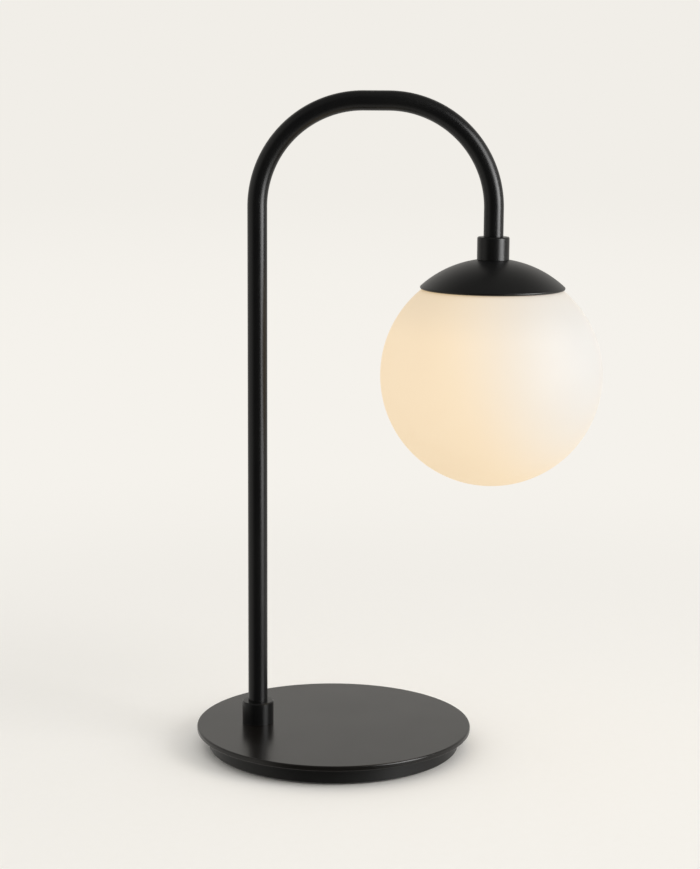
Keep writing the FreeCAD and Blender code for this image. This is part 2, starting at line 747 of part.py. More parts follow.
def globe():
    """Blown ball, its top sunk into a flat shoulder round an upright screw neck."""
    neck_top = on_ball(
        CAP_SPHERE - CAP_WALL - GALLERY_GAP - GALLERY_WALL, CAP_CENTRE, NECK_RADIUS
    ) - NECK_TOP_GAP
    lip = GLOBE_WALL / 2
    root = NECK_ROOT_ROUND
    near = root * (1 - math.sqrt(0.5))
    bore = NECK_RADIUS - GLOBE_WALL
    under = SHOULDER_TOP - GLOBE_WALL
    inner_radius = GLOBE_RADIUS - GLOBE_WALL
    outer_steps = shoulder(GLOBE_RADIUS, SHOULDER_TOP)
    inner_steps = shoulder(inner_radius, under)
    outer = lathe(
        GLOBE_X,
        (0, GLOBE_HEIGHT - GLOBE_RADIUS),
        *outer_steps,
        (NECK_RADIUS + root, SHOULDER_TOP),
        (NECK_RADIUS + near, SHOULDER_TOP + near, NECK_RADIUS, SHOULDER_TOP + root),
        (NECK_RADIUS, neck_top - lip),
        (NECK_RADIUS - lip, neck_top, bore, neck_top - lip),
        (0, neck_top - lip),
    )
    inner = lathe(
        GLOBE_X,
        (0, GLOBE_HEIGHT - inner_radius),
        *inner_steps,
        (bore + root, under),
        (bore + near, under + near, bore, under + root),
        (bore, neck_top + BEYOND),
        (0, neck_top + BEYOND),
    )
    return outer.cut(inner)


def globe_gasket():
    """Soft ring that lies on the glass shoulder, round the neck."""
    inner = NECK_RADIUS + NECK_ROOT_ROUND + GASKET_ROOT_PLAY
    return ring(GLOBE_X, 0, GASKET_OUTER, inner, GASKET_BOTTOM, GASKET_TOP)


# The lamp holder


def holder_cap():
    """Moulded top of the holder, screwed on the nipple; wires end inside it."""
    slope = HOLDER_SHOULDER
    reach = math.sqrt(0.5)
    inner = HOLDER_RADIUS - HOLDER_WALL
    roof = HOLDER_TOP - HOLDER_WALL
    boss = NIPPLE_RADIUS + HOLDER_BOSS_WALL
    boss_low = HOLDER_TOP - HOLDER_BOSS_HEIGHT
    return lathe(
        GLOBE_X,
        (NIPPLE_RADIUS, HOLDER_TOP),
        (HOLDER_RADIUS - slope, HOLDER_TOP),
        (
            HOLDER_RADIUS - slope * (1 - reach),
            HOLDER_TOP - slope * (1 - reach),
            HOLDER_RADIUS,
            HOLDER_TOP - slope,
        ),
        (HOLDER_RADIUS, HOLDER_SPLIT),
        (inner, HOLDER_SPLIT),
        (inner, HOLDER_TOP - slope),
        (
            inner - (slope - HOLDER_WALL) * (1 - reach),
            roof - (slope - HOLDER_WALL) * (1 - reach),
            inner - slope + HOLDER_WALL,
            roof,
        ),
        (boss, roof),
        (boss, boss_low),
        (NIPPLE_RADIUS, boss_low),
    )


def holder_body():
    """Moulded skirt of the holder, with a groove round its upper band."""
    inner = HOLDER_RADIUS - HOLDER_WALL
    lip = SHELL_BORE + SHELL_WALL + HOLDER_LIP_PLAY
    bevel = HOLDER_LIP_BEVEL
    skirt = lathe(
        GLOBE_X,
        (inner, HOLDER_SPLIT),
        (HOLDER_RADIUS, HOLDER_SPLIT),
        (HOLDER_RADIUS, HOLDER_MOUTH + bevel),
        (HOLDER_RADIUS - bevel, HOLDER_MOUTH),
        (lip, HOLDER_MOUTH),
        (lip, HOLDER_MOUTH + HOLDER_LIP_HEIGHT),
        (inner, HOLDER_MOUTH + 2 * HOLDER_LIP_HEIGHT),
    )
    groove = Part.makeTorus(
        HOLDER_RADIUS + HOLDER_GROOVE_OFFSET,
        HOLDER_GROOVE_ROUND,
        Vector(GLOBE_X, 0, HOLDER_SPLIT - HOLDER_GROOVE_DROP),
    )
    return skirt.cut(groove)


def holder_core():
    """Ceramic insert: a round seat for the shell, with a step for each terminal."""
    radius = HOLDER_RADIUS - HOLDER_WALL - CORE_PLAY
    core = lathe(
        GLOBE_X,
        (0, CORE_BOTTOM),
        (radius, CORE_BOTTOM),
        (radius, HOLDER_SPLIT),
        (radius - CORE_STEP, HOLDER_SPLIT),
        (radius - CORE_STEP, CORE_TOP),
        (0, CORE_TOP),
    )
    for x in holder_terminal_places():
        low = CORE_TOP - HOLDER_TERMINAL_DEPTH
        core = core.cut(rod(x, 0, HOLDER_TERMINAL_RADIUS, low, CORE_TOP))
    return core


def holder_terminal_places():
    return GLOBE_X - HOLDER_TERMINAL_REACH, GLOBE_X + HOLDER_TERMINAL_REACH


def holder_terminal_screws():
    screws = []
    for x in holder_terminal_places():
        high = CORE_TOP + HOLDER_TERMINAL_HEAD_HEIGHT
        head = rod(x, 0, HOLDER_TERMINAL_HEAD, CORE_TOP, high)
        shank = rod(x, 0, HOLDER_TERMINAL_RADIUS, CORE_TOP - HOLDER_TERMINAL_DEPTH, high)
        width = HOLDER_TERMINAL_SLOT
        cut = slot(x, 0, HOLDER_TERMINAL_HEAD, width, high - width)
        screws.append(head.fuse(shank).cut(cut))
    return Part.Compound(screws)


def holder_screw_shell():
    """Thin brass sleeve that takes the bulb's screw cap."""
    low = HOLDER_MOUTH + SHELL_ABOVE_MOUTH
    return ring(GLOBE_X, 0, SHELL_BORE + SHELL_WALL, SHELL_BORE, low, CORE_BOTTOM)


def holder_contact():
    """Sprung brass tongue that bears on the tip of the bulb."""
    side = -CONTACT_WIDTH / 2
    root = Vector(GLOBE_X - CONTACT_ROOT, side, CORE_BOTTOM)
    knee = Vector(GLOBE_X - CONTACT_KNEE, side, CORE_BOTTOM)
    tip = Vector(GLOBE_X + CONTACT_REACH, side, CORE_BOTTOM - CONTACT_DIP)
    down = Vector(0, 0, -CONTACT_THICKNESS)
    outline = Part.makePolygon([root, knee, tip, tip + down, knee + down, root + down, root])
    return Part.Face(outline).extrude(Vector(0, CONTACT_WIDTH, 0))


# The bulb


def bulb_profile(offset):
    """Steps of the envelope from its lowest point to the top of its neck."""
    radius = BULB_RADIUS - offset
    neck = BULB_NECK_RADIUS - offset
    centre = BULB_TIP - BULB_LENGTH + BULB_RADIUS
    lean = math.radians(BULB_SHOULDER_LEAN)
    belly_end = (radius * math.cos(lean), centre + radius * math.sin(lean))
    throat = BULB_THROAT + offset
    throat_r = neck + throat * (1 - math.cos(lean))
    throat_z = belly_end[1] + (belly_end[0] - throat_r) / math.tan(lean)
    end_z = throat_z + throat * math.sin(lean)
    half = lean / 2
    bend_r = neck + throat * (1 - math.cos(half))
    bend_z = end_z - throat * math.sin(half)
    return (
        (0, centre - radius),
        [(radius, centre) + belly_end, (throat_r, throat_z), (bend_r, bend_z, neck, end_z)],
    )


def bulb_glass():
    """Frosted envelope: ball, sloping shoulder and neck, open inside the cap."""
    top = BULB_CAP_BOTTOM + BULB_NECK_IN_CAP
    bottom, steps = bulb_profile(0)
    outer = lathe(GLOBE_X, bottom, *steps, (BULB_NECK_RADIUS, top), (0, top))
    bottom, steps = bulb_profile(BULB_WALL)
    neck = BULB_NECK_RADIUS - BULB_WALL
    inner = lathe(GLOBE_X, bottom, *steps, (neck, top + BEYOND), (0, top + BEYOND))
    return outer.cut(inner)


def bulb_cap():
    """Screw cap crimped round the neck of the envelope, closing in towards the tip."""
    inner = BULB_CAP_RADIUS - BULB_CAP_WALL
    crimp = BULB_CAP_CRIMP
    return lathe(
        GLOBE_X,
        (inner, BULB_CAP_BOTTOM),
        (BULB_CAP_RADIUS, BULB_CAP_BOTTOM),
        (BULB_CAP_RADIUS, BULB_CAP_TOP - BULB_CAP_BEVEL),
        (BULB_TIP_RADIUS, BULB_CAP_TOP),
        (BULB_TIP_RADIUS - crimp, BULB_CAP_TOP - crimp),
        (inner, BULB_CAP_TOP - BULB_CAP_BEVEL - crimp),
    )


def bulb_tip():
    """Glass insulator with the centre contact in its middle."""
    crimp = BULB_CAP_CRIMP
    return lathe(
        GLOBE_X,
        (0, BULB_CAP_TOP - crimp),
        (BULB_TIP_RADIUS - crimp, BULB_CAP_TOP - crimp),
        (BULB_TIP_RADIUS, BULB_CAP_TOP),
        (BULB_CONTACT_RADIUS, BULB_TIP - BULB_CONTACT_RISE),
        (BULB_CONTACT_FACE, BULB_TIP),
        (0, BULB_TIP),
    )


# Every piece becomes one STEP file, named as its function is
PIECES = (
    base_pad,
    bottom_cover,
    cover_screws,
    base_body,
    base_plate,
    plate_washers,
    plate_nuts,
    cord_gland,
    terminal_block,
    terminal_screws,
    block_screw,
    stem_washer,
    stem_nut,
    lower_nipple,
    lower_bushing,
    foot_collar,
    foot_grub_screw,
    stem_tube,
    tube_leads,
    upper_bushing,
    upper_nipple,
    upper_collar,
    upper_grub_screw,
    shade_cap,
    globe_gallery,
    pendant_nut,
    holder_cap,
    holder_body,
    holder_core,
    holder_terminal_screws,
    holder_screw_shell,
    holder_contact,
    globe_gasket,
    globe,
    bulb_glass,
    bulb_cap,
    bulb_tip,
)

os.makedirs("parts", exist_ok=True)
for piece in PIECES:
    shape = piece()
    if not shape.isValid() or shape.Volume <= 0:
        raise ValueError(piece.__name__ + " is not a sound solid")
    shape.exportStep("parts/" + piece.__name__ + ".step")
    print(piece.__name__, len(shape.Solids), "solids", round(shape.Volume / 1000, 2), "cm3")
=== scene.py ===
from math import acos, asin, atan2, ceil, cos, degrees, hypot, pi, radians, sin, sqrt, tan, tau

import bmesh
import bpy
from bpy.props import FloatProperty, FloatVectorProperty, IntProperty, PointerProperty
from mathutils import Matrix, Quaternion, Vector


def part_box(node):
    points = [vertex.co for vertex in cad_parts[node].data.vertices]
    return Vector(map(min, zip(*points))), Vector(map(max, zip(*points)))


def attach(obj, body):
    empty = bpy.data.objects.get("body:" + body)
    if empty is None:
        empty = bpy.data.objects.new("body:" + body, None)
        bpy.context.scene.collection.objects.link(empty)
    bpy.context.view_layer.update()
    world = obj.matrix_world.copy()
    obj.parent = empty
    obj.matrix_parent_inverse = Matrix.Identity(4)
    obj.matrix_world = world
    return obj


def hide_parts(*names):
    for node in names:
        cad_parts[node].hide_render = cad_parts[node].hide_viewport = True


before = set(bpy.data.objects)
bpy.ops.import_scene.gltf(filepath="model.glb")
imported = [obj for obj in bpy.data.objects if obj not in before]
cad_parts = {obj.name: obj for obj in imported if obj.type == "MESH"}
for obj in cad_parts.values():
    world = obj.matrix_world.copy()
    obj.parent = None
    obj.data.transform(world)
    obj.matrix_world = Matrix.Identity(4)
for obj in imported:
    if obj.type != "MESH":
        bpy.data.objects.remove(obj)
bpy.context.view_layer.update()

bl_info = {
    "name": "Globe table lamp",
    "version": (1, 0, 0),
    "blender": (4, 5, 0),
    "location": "3D View > Sidebar > Lamp",
    "description": "Dresses the arched table lamp with its opal globe and lights it",
    "category": "Object",
}

# Heights and radii below are millimetres, as on a drawing, and become metres in the mesh
MM = 0.001


def axis_of(name):
    """Place along x of a turned node's upright axis, in millimetres."""
    low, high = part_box(name)
    return (low[0] + high[0]) / 2 / MM


STEM_X = round(axis_of("foot_collar"), 1)
GLOBE_X = round(axis_of("globe"), 1)

# Height of the globe's centre, and radius of the circle that the plate's studs stand on
GLOBE_CENTRE = 313.8
STUD_CIRCLE = 78.0

# Threads: rise in one turn, depth, and the longest stretch of wall between two rings of points
NECK_PITCH = 4.0
BULB_PITCH = 3.63
BULB_DEPTH = 0.75
THREAD_STEP = 0.3

# Flat length kept beside a rounding, and the angle in degrees from which an edge shades sharp
GUARD = 0.25
SHARP = 38


# Colour and nodes


def linear(colour):
    """Linear colour of an sRGB hex value such as "F0EDE7"."""
    parts = [int(colour[k:k + 2], 16) / 255 for k in (0, 2, 4)]
    return (*[p / 12.92 if p <= 0.04045 else ((p + 0.055) / 1.055) ** 2.4 for p in parts], 1.0)


def node(tree, kind, inputs=None, **settings):
    """Adds a node with these settings, its inputs set or linked to other nodes."""
    made = tree.nodes.new(kind)
    for key, value in settings.items():
        setattr(made, key, value)
    for key, value in (inputs or {}).items():
        if isinstance(value, bpy.types.NodeSocket):
            tree.links.new(value, made.inputs[key])
        else:
            made.inputs[key].default_value = value
    return made


def maths(tree, operation, *values):
    """Number that comes out of a maths node."""
    return node(tree, "ShaderNodeMath", dict(enumerate(values)), operation=operation).outputs[0]


def vector_maths(tree, operation, *values, result="Vector"):
    """Vector, or number, that comes out of a vector maths node."""
    made = node(tree, "ShaderNodeVectorMath", dict(enumerate(values)), operation=operation)
    return made.outputs[result]


def place_of(tree, centre=(0, 0, 0), stretch=(1, 1, 1)):
    """Object coordinates from a centre in metres, stretched for the pattern."""
    here = node(tree, "ShaderNodeTexCoord").outputs["Object"]
    moved = vector_maths(tree, "SUBTRACT", here, centre)
    return node(tree, "ShaderNodeMapping", {"Vector": moved, "Scale": stretch}).outputs[0]


def on_globe_axis(height):
    """Point in metres on the globe's axis, at this height in millimetres."""
    return GLOBE_X * MM, 0, height * MM


def new_material(name, centre=(0, 0, 0), stretch=(1, 1, 1)):
    """A material with no shader yet, its tree, and the place for its patterns."""
    material = bpy.data.materials.new(name)
    material.use_nodes = True
    tree = material.node_tree
    tree.nodes.clear()
    return material, tree, place_of(tree, centre, stretch)


def surface(material, inputs):
    """Gives a material a Principled shader with these inputs, and hands it back."""
    shader = node(material.node_tree, "ShaderNodeBsdfPrincipled", inputs)
    node(material.node_tree, "ShaderNodeOutputMaterial", {"Surface": shader.outputs[0]})
    return material


def noise(tree, place, size, detail=2.0, **more):
    """Cloudy pattern with spots about as many millimetres across as the size says."""
    inputs = {"Vector": place, "Scale": 1000 / size, "Detail": detail, **more}
    return node(tree, "ShaderNodeTexNoise", inputs).outputs[0]


def cells(tree, place, size):
    """Distance from the middle of the nearest cell, the cells' size in millimetres."""
    inputs = {"Vector": place, "Scale": 1000 / size}
    return node(tree, "ShaderNodeTexVoronoi", inputs).outputs["Distance"]


def ramp(tree, value, start, end, low=0.0, high=1.0, kind="SMOOTHSTEP"):
    """Number that runs from low to high as the value goes from start to end."""
    inputs = {"Value": value, "From Min": start, "From Max": end, "To Min": low, "To Max": high}
    return node(tree, "ShaderNodeMapRange", inputs, interpolation_type=kind).outputs[0]


def vary(tree, factor, low, high):
    """Number that runs from low to high as the factor goes from 0 to 1."""
    return ramp(tree, factor, 0.0, 1.0, low, high, "LINEAR")


def blend_colours(tree, factor, first, second):
    """Colour that goes from the first to the second as the factor goes from 0 to 1."""
    mixed = node(tree, "ShaderNodeMix", {0: factor, 6: first, 7: second}, data_type="RGBA")
    return mixed.outputs[2]


def tones(tree, factor, first, second):
    """The same between two sRGB hex values."""
    return blend_colours(tree, factor, linear(first), linear(second))


def mix_shaders(tree, factor, first, second):
    """Shader that goes from the first to the second as the factor goes from 0 to 1."""
    inputs = {0: factor, 1: first.outputs[0], 2: second.outputs[0]}
    return node(tree, "ShaderNodeMixShader", inputs)


def relief(tree, height, depth):
    """Bump normal from a height between 0 and 1, its depth in millimetres."""
    return node(tree, "ShaderNodeBump", {"Height": height, "Distance": depth * MM}).outputs[0]


# Materials


def powder_coat(name, colour, dusty, grain, depth, rough, shine):
    """Baked powder on metal: fine orange peel, with a little change in gloss across the piece."""
    material, tree, here = new_material(name)
    peel = noise(tree, here, grain, 3.0, Roughness=0.55)
    cloud = noise(tree, here, 42)
    return surface(material, {
        "Base Color": tones(tree, cloud, colour, dusty),
        "Roughness": vary(tree, cloud, rough - 0.05, rough + 0.05),
        "Normal": relief(tree, peel, depth),
        "Specular IOR Level": shine,
    })


def black_powder_on_tube():
    # Powder-coated steel, baked: satin black with one soft bright band where the light stands
    # and a faint orange peel. The real grain of about 0.6 mm would vanish in the picture, so it
    # is drawn at 1.6 mm
    return powder_coat("black_powder_on_steel", "08080A", "0F0F0E", 1.6, 0.005, 0.30, 0.32)


def black_powder_on_cap():
    # Powder-coated spun steel: the same black as the tube's, a little rougher, so that its
    # dome shows two broad soft sheens and no sharp line along the rolled rim
    return powder_coat("black_powder_on_spun_cap", "09090A", "10100F", 1.6, 0.005, 0.36, 0.36)


def black_powder_on_plate():
    # Powder-coated rolled steel plate: the same black, a little browner and flatter, which
    # at a low angle picks up the pale room as an even grey sheen and the stem as a dark streak
    return powder_coat("black_powder_on_plate", "0E0C0A", "12100E", 1.8, 0.003, 0.24, 0.39)


def black_powder_on_iron():
    # Powder-coated sand-cast iron: the sand's coarser grain still shows through the powder,
    # so that its side stays duller than the plate above it
    return powder_coat("black_powder_on_cast_iron", "131313", "1A1A19", 2.8, 0.05, 0.42, 0.24)


def zinc_plate():
    # Bright zinc-plated steel, barrel plated: cool grey metal with a clouded blue and straw
    # passivation, and fine scratches from tumbling
    material, tree, here = new_material("zinc_plated_steel")
    cloud = noise(tree, here, 9, 3.0)
    marks = noise(tree, place_of(tree, stretch=(1, 1, 9)), 1.2)
    return surface(material, {
        "Base Color": tones(tree, cloud, "B9C0C6", "CFC9B6"),
        "Roughness": vary(tree, marks, 0.24, 0.42),
        "Normal": relief(tree, marks, 0.01),
        "Metallic": 1.0,
    })


def turned_brass():
    # Free-turning brass, left plain: warm yellow with fine rings from the lathe tool and
    # browner patches where it has been handled
    material, tree, here = new_material("turned_brass")
    ring_pitch = 0.6
    wave = {"Vector": here, "Scale": 1000 / ring_pitch / tau, "Distortion": 0.4}
    rings = node(tree, "ShaderNodeTexWave", wave, bands_direction="Z").outputs["Fac"]
    patch = noise(tree, here, 7, 3.0)
    return surface(material, {
        "Base Color": tones(tree, patch, "D9B36A", "B0873F"),
        "Roughness": vary(tree, patch, 0.22, 0.40),
        "Normal": relief(tree, rings, 0.008),
        "Metallic": 1.0,
    })


def nickel_plate():
    # Nickel-plated brass, drawn and rolled: bright and faintly warm, with long streaks from
    # the rolling that change its shine and its tone
    material, tree, here = new_material("nickel_plated_brass", stretch=(1, 1, 12))
    streak = noise(tree, here, 3, 3.0)
    return surface(material, {
        "Base Color": tones(tree, streak, "D6D2C8", "B9B3A6"),
        "Roughness": vary(tree, streak, 0.16, 0.34),
        "Metallic": 1.0,
    })


def foam_rubber():
    # EVA foam, sliced and die cut: dead matt charcoal with open cells of about 0.5 mm, drawn
    # at 1.2 mm so that they show from underneath
    material, tree, here = new_material("die_cut_eva_foam")
    pores = cells(tree, here, 1.2)
    return surface(material, {
        "Base Color": tones(tree, noise(tree, here, 30, 4.0), "2A2A2B", "3A3939"),
        "Roughness": vary(tree, pores, 0.95, 0.8),
        "Normal": relief(tree, pores, 0.25),
        "Specular IOR Level": 0.25,
    })


def silicone_rubber():
    # Silicone rubber, moulded: milky and soft, a little light passes into it, and talc from
    # packing leaves it matt
    material, tree, here = new_material("moulded_silicone_rubber", on_globe_axis(386))
    talc = noise(tree, here, 4, 5.0)
    return surface(material, {
        "Base Color": tones(tree, talc, "D9D6CE", "EBE9E4"),
        "Roughness": vary(tree, talc, 0.42, 0.62),
        "Normal": relief(tree, talc, 0.03),
        "Subsurface Weight": 0.25,
        "Subsurface Scale": 0.002,
    })


def moulded_plastic(name, colour, second, grain, depth, rough):
    """Moulded plastic: spark-eroded skin of the mould, with slow flow clouds in its colour."""
    material, tree, here = new_material(name)
    skin = noise(tree, here, grain, 4.0)
    flow = noise(tree, here, 14, Distortion=1.2)
    return surface(material, {
        "Base Color": tones(tree, flow, colour, second),
        "Roughness": vary(tree, skin, rough - 0.08, rough + 0.08),
        "Normal": relief(tree, skin, depth),
    })


def phenolic():
    # Phenolic resin, compression moulded: near black with brown flow clouds and a soft shine,
    # as on most lamp holders
    return moulded_plastic("moulded_phenolic", "171514", "241F1C", 1.1, 0.02, 0.36)


def black_nylon():
    # Nylon, injection moulded: matt black with a fine eroded texture where the fingers hold it
    return moulded_plastic("moulded_black_nylon", "1A1A1B", "222223", 0.8, 0.03, 0.52)


def white_polyamide():
    # Polyamide, injection moulded: cream white, slightly waxy, with soft flow clouds
    return moulded_plastic("moulded_white_polyamide", "E6E3DA", "DAD6C9", 1.0, 0.02, 0.45)


def lead_insulation():
    # Silicone sleeve on the leads, extruded: brown black, with a faint grain left by the die
    return moulded_plastic("extruded_silicone_lead", "3B322C", "4A3F37", 0.9, 0.015, 0.40)


def steatite():
    # Steatite ceramic, pressed and fired without glaze: chalky off-white with grey specks of
    # about 0.4 mm and a dry surface
    material, tree, here = new_material("fired_steatite")
    fleck = ramp(tree, cells(tree, here, 0.9), 0.05, 0.16, kind="LINEAR")
    grit = noise(tree, here, 0.7, 4.0)
    return surface(material, {
        "Base Color": tones(tree, fleck, "B9B4A8", "E9E5DB"),
        "Roughness": vary(tree, grit, 0.7, 0.9),
        "Normal": relief(tree, grit, 0.04),
    })


def insulator_glass():
    # Vitrite, pressed black glass: glossy and almost black with violet depth and tiny pits
    material, tree, here = new_material("pressed_black_glass")
    pits = noise(tree, here, 1.5, 3.0)
    return surface(material, {
        "Base Color": tones(tree, pits, "0E0C12", "1C1824"),
        "Roughness": vary(tree, pits, 0.08, 0.22),
        "Normal": relief(tree, pits, 0.02),
    })


def opal_glass(warm, pale, glow):
    # Opal flashed glass, blown and etched satin: it hides the bulb, and its glow is painted as
    # emission in place of the bulb's light passing through it. The glow is peach where it is lit
    # from inside only, and painted light makes it paler on the side towards the right, where the
    # room's light falls on it; a painted shade dims it near the top under the cap. About half of
    # the room's light passes into it, so its own white is a soft one
    material, tree, here = new_material("blown_opal_glass", on_globe_axis(GLOBE_CENTRE))
    height = node(tree, "ShaderNodeSeparateXYZ", {0: here}).outputs["Z"]
    way_out = vector_maths(tree, "NORMALIZE", here)
    towards_light = Vector((0.84, -0.47, 0.27)).normalized()
    painted_light_side = vector_maths(tree, "DOT_PRODUCT", way_out, towards_light, result="Value")
    streaks = noise(tree, here, 60, Distortion=0.8)
    glow_in_painted_cap_shade = 0.85 * glow
    return surface(material, {
        "Base Color": tones(tree, streaks, "AFADA8", "ABA8A2"),
        "Roughness": vary(tree, streaks, 0.52, 0.60),
        "Normal": relief(tree, streaks, 0.08),
        # Painted light: the emission turns from peach to pale on the side that faces the key light
        # at the right
        "Emission Color": blend_colours(tree, ramp(tree, painted_light_side, 0.04, 1.4), warm, pale),
        # Painted shade: the emission dims towards the top of the globe, where the cap shades the
        # glass
        "Emission Strength": ramp(tree, height, 0.030, 0.066, glow, glow_in_painted_cap_shade),
        "Specular IOR Level": 0.11,
        "IOR": 1.51,
    })


def frosted_bulb_glass():
    # Soda-lime glass, blown and powder frosted inside: even white with a warm light from the
    # middle of the ball, dimmer down its neck
    material, tree, here = new_material("frosted_bulb_glass", on_globe_axis(301.5))
    reach = vector_maths(tree, "LENGTH", here, result="Value")
    frost = noise(tree, here, 1.4, 3.0)
    return surface(material, {
        "Base Color": linear("AFABA3"),
        "Roughness": vary(tree, frost, 0.22, 0.32),
        "Normal": relief(tree, frost, 0.01),
        "Emission Color": tones(
            tree, ramp(tree, reach, 0.028, 0.06, kind="LINEAR"), "FFE9C4", "8E7A5C"
        ),
        "Emission Strength": 0.5,
    })


def studio_floor(centre_colour, edge_colour):
    # Seamless paper, painted matt and lit a little from below: a pale sheet that holds a soft
    # shadow near the lamp and runs out into the backdrop's own colour, so that no horizon
    # shows from any side
    material, tree, here = new_material("matt_studio_paper")
    reach = vector_maths(tree, "LENGTH", here, result="Value")
    # The paper's glow: none under the base, which leaves a painted dark contact ring at the
    # weight's foot, a little beside it and all of it far away
    away = ramp(tree, reach, 0.18, 0.9, low=0.15)
    # Painted shadow: the glow fades out between 112 and 105 mm from the middle, darkening the paper
    # at the foot of the weight
    beside = ramp(tree, reach, 0.105, 0.112, kind="LINEAR")
    fibres = noise(tree, here, 8)
    paper = node(tree, "ShaderNodeBsdfPrincipled", {
        "Base Color": blend_colours(tree, fibres, centre_colour, linear("F2EFE9")),
        "Roughness": 0.9,
        "Specular IOR Level": 0.1,
    })
    pale = tones(tree, ramp(tree, reach, 0.4, 1.3), "F0EDE7", "F5F2EC")
    sheet = blend_colours(tree, ramp(tree, reach, 2.0, 9.0), pale, edge_colour)
    glow = node(tree, "ShaderNodeEmission", {"Color": sheet})
    both = mix_shaders(tree, maths(tree, "MULTIPLY", away, beside), paper, glow)
    node(tree, "ShaderNodeOutputMaterial", {"Surface": both.outputs[0]})
    return material


# Outlines and turned meshes


def angle_at_radius(r, ball):
    """Angle above the level, in degrees, at which a ball is this far from its axis."""
    return degrees(acos(r / ball))


def angle_at_height(rise, ball):
    """Angle above the level, in degrees, at which a ball is this high above its centre."""
    return degrees(asin(rise / ball))


def arc(r, z, radius, start, end, count):
    """Points on an arc about (r, z), from one angle in degrees to another."""
    turns = [radians(start + (end - start) * k / count) for k in range(count + 1)]
    return [(r + radius * cos(turn), z + radius * sin(turn)) for turn in turns]


def outline(corners, count=5):
    """Section through corners (r, z) or (r, z, rounding). Points close to each rounding's
    ends keep the flats beside it flat."""
    total = len(corners)
    places = [Vector(corner[:2]) for corner in corners]
    roundings = [corner[2] if len(corner) > 2 else 0 for corner in corners]
    befores = [places[k - 1] - here for k, here in enumerate(places)]
    afters = [places[(k + 1) % total] - here for k, here in enumerate(places)]
    halves = [before.angle(after) / 2 for before, after in zip(befores, afters)]
    reaches = [rounding / tan(half) for rounding, half in zip(roundings, halves)]
    made = []
    for k, (here, rounding, half, reach) in enumerate(zip(places, roundings, halves, reaches)):
        if not rounding:
            made.append(tuple(here))
            continue
        flat_before = befores[k].length - reach - reaches[k - 1]
        flat_after = afters[k].length - reach - reaches[(k + 1) % total]
        before, after = befores[k].normalized(), afters[k].normalized()
        centre = here + (before + after).normalized() * (rounding / sin(half))
        start, end = here + before * reach, here + after * reach
        if flat_before > 0:
            made.append(tuple(start + before * min(GUARD, flat_before / 3)))
        first = atan2(start.y - centre.y, start.x - centre.x)
        turn = atan2(end.y - centre.y, end.x - centre.x) - first
        turn = (turn + pi) % tau - pi
        made += arc(centre.x, centre.y, rounding, degrees(first), degrees(first + turn), count)
        if flat_after > 0:
            made.append(tuple(end + after * min(GUARD, flat_after / 3)))
    return made


def divided(points, step, closed=False):
    """The same section with no stretch longer than the step."""
    made = []
    ends = points[1:] + (points[:1] if closed else [])
    for (r, z), (next_r, next_z) in zip(points, ends):
        count = max(1, ceil(hypot(next_r - r, next_z - z) / step))
        made += [(r + (next_r - r) * k / count, z + (next_z - z) * k / count) for k in range(count)]
    if not closed:
        made.append(points[-1])
    return made


def thread(pitch, depth, low, high, run_out, walls):
    """Radius change of a rounded right-hand thread on these walls, fading at both ends."""
    def change(r, angle, z):
        fade = min((z - low) / run_out, (high - z) / run_out, 1.0)
        if fade <= 0 or min(abs(r - wall) for wall in walls) > 0.01:
            return 0.0
        return depth * fade * (0.5 + 0.5 * cos(tau * z / pitch - angle))
    return change


def outward(mesh):
    """Points a closed mesh's faces out of its material."""
    work = bmesh.new()
    work.from_mesh(mesh)
    if work.calc_volume(signed=True) < 0:
        bmesh.ops.reverse_faces(work, faces=work.faces)
    work.to_mesh(mesh)
    work.free()


def soften(mesh):
    """Shades a mesh smooth, apart from its sharp edges."""
    mesh.polygons.foreach_set("use_smooth", [True] * len(mesh.polygons))
    mesh.set_sharp_from_angle(angle=radians(SHARP))


def turned(section, x, steps=160, change=None):
    """Mesh of a section turned about the upright axis at x. The section may start and end
    on the axis, or close on itself."""
    points, faces, rings = [], [], []
    for r, z in section:
        if r < 1e-6:
            rings.append([len(points)] * steps)
            points.append((x * MM, 0, z * MM))
            continue
        rings.append([len(points) + k for k in range(steps)])
        for k in range(steps):
            angle = tau * k / steps
            far = r + (change(r, angle, z) if change else 0.0)
            points.append(((x + far * cos(angle)) * MM, far * sin(angle) * MM, z * MM))
    pairs = list(zip(rings, rings[1:]))
    if section[0][0] > 1e-6:
        pairs.append((rings[-1], rings[0]))
    for near, far in pairs:
        for k in range(steps):
            n = (k + 1) % steps
            loop = [near[k], near[n], far[n], far[k]]
            loop = [p for i, p in enumerate(loop) if p not in loop[:i]]
            if len(loop) > 2:
                faces.append(loop)
    mesh = bpy.data.meshes.new("turned")
    mesh.from_pydata(points, [], faces)
    outward(mesh)
    soften(mesh)
    return mesh


def placed(name, data):
    """A new object in the scene that shows this data."""
    made = bpy.data.objects.new(name, data)
    bpy.context.scene.collection.objects.link(made)
    return made


def finish_piece(name, mesh, material, stands_for=(), body="lamp"):
    """Puts a mesh in the scene as a piece that rides on its body."""
    mesh.name = name
    mesh.materials.clear()
    mesh.materials.append(material)
    piece = placed(name, mesh)
    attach(piece, body)
    if stands_for:
        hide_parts(*stands_for)


def ended(work):
    """Mesh from a work in progress."""
    mesh = bpy.data.meshes.new("made")
    work.to_mesh(mesh)
    work.free()
    soften(mesh)
    return mesh


def joined(meshes):
    """One mesh from several."""
    work = bmesh.new()
    for mesh in meshes:
        work.from_mesh(mesh)
    return ended(work)


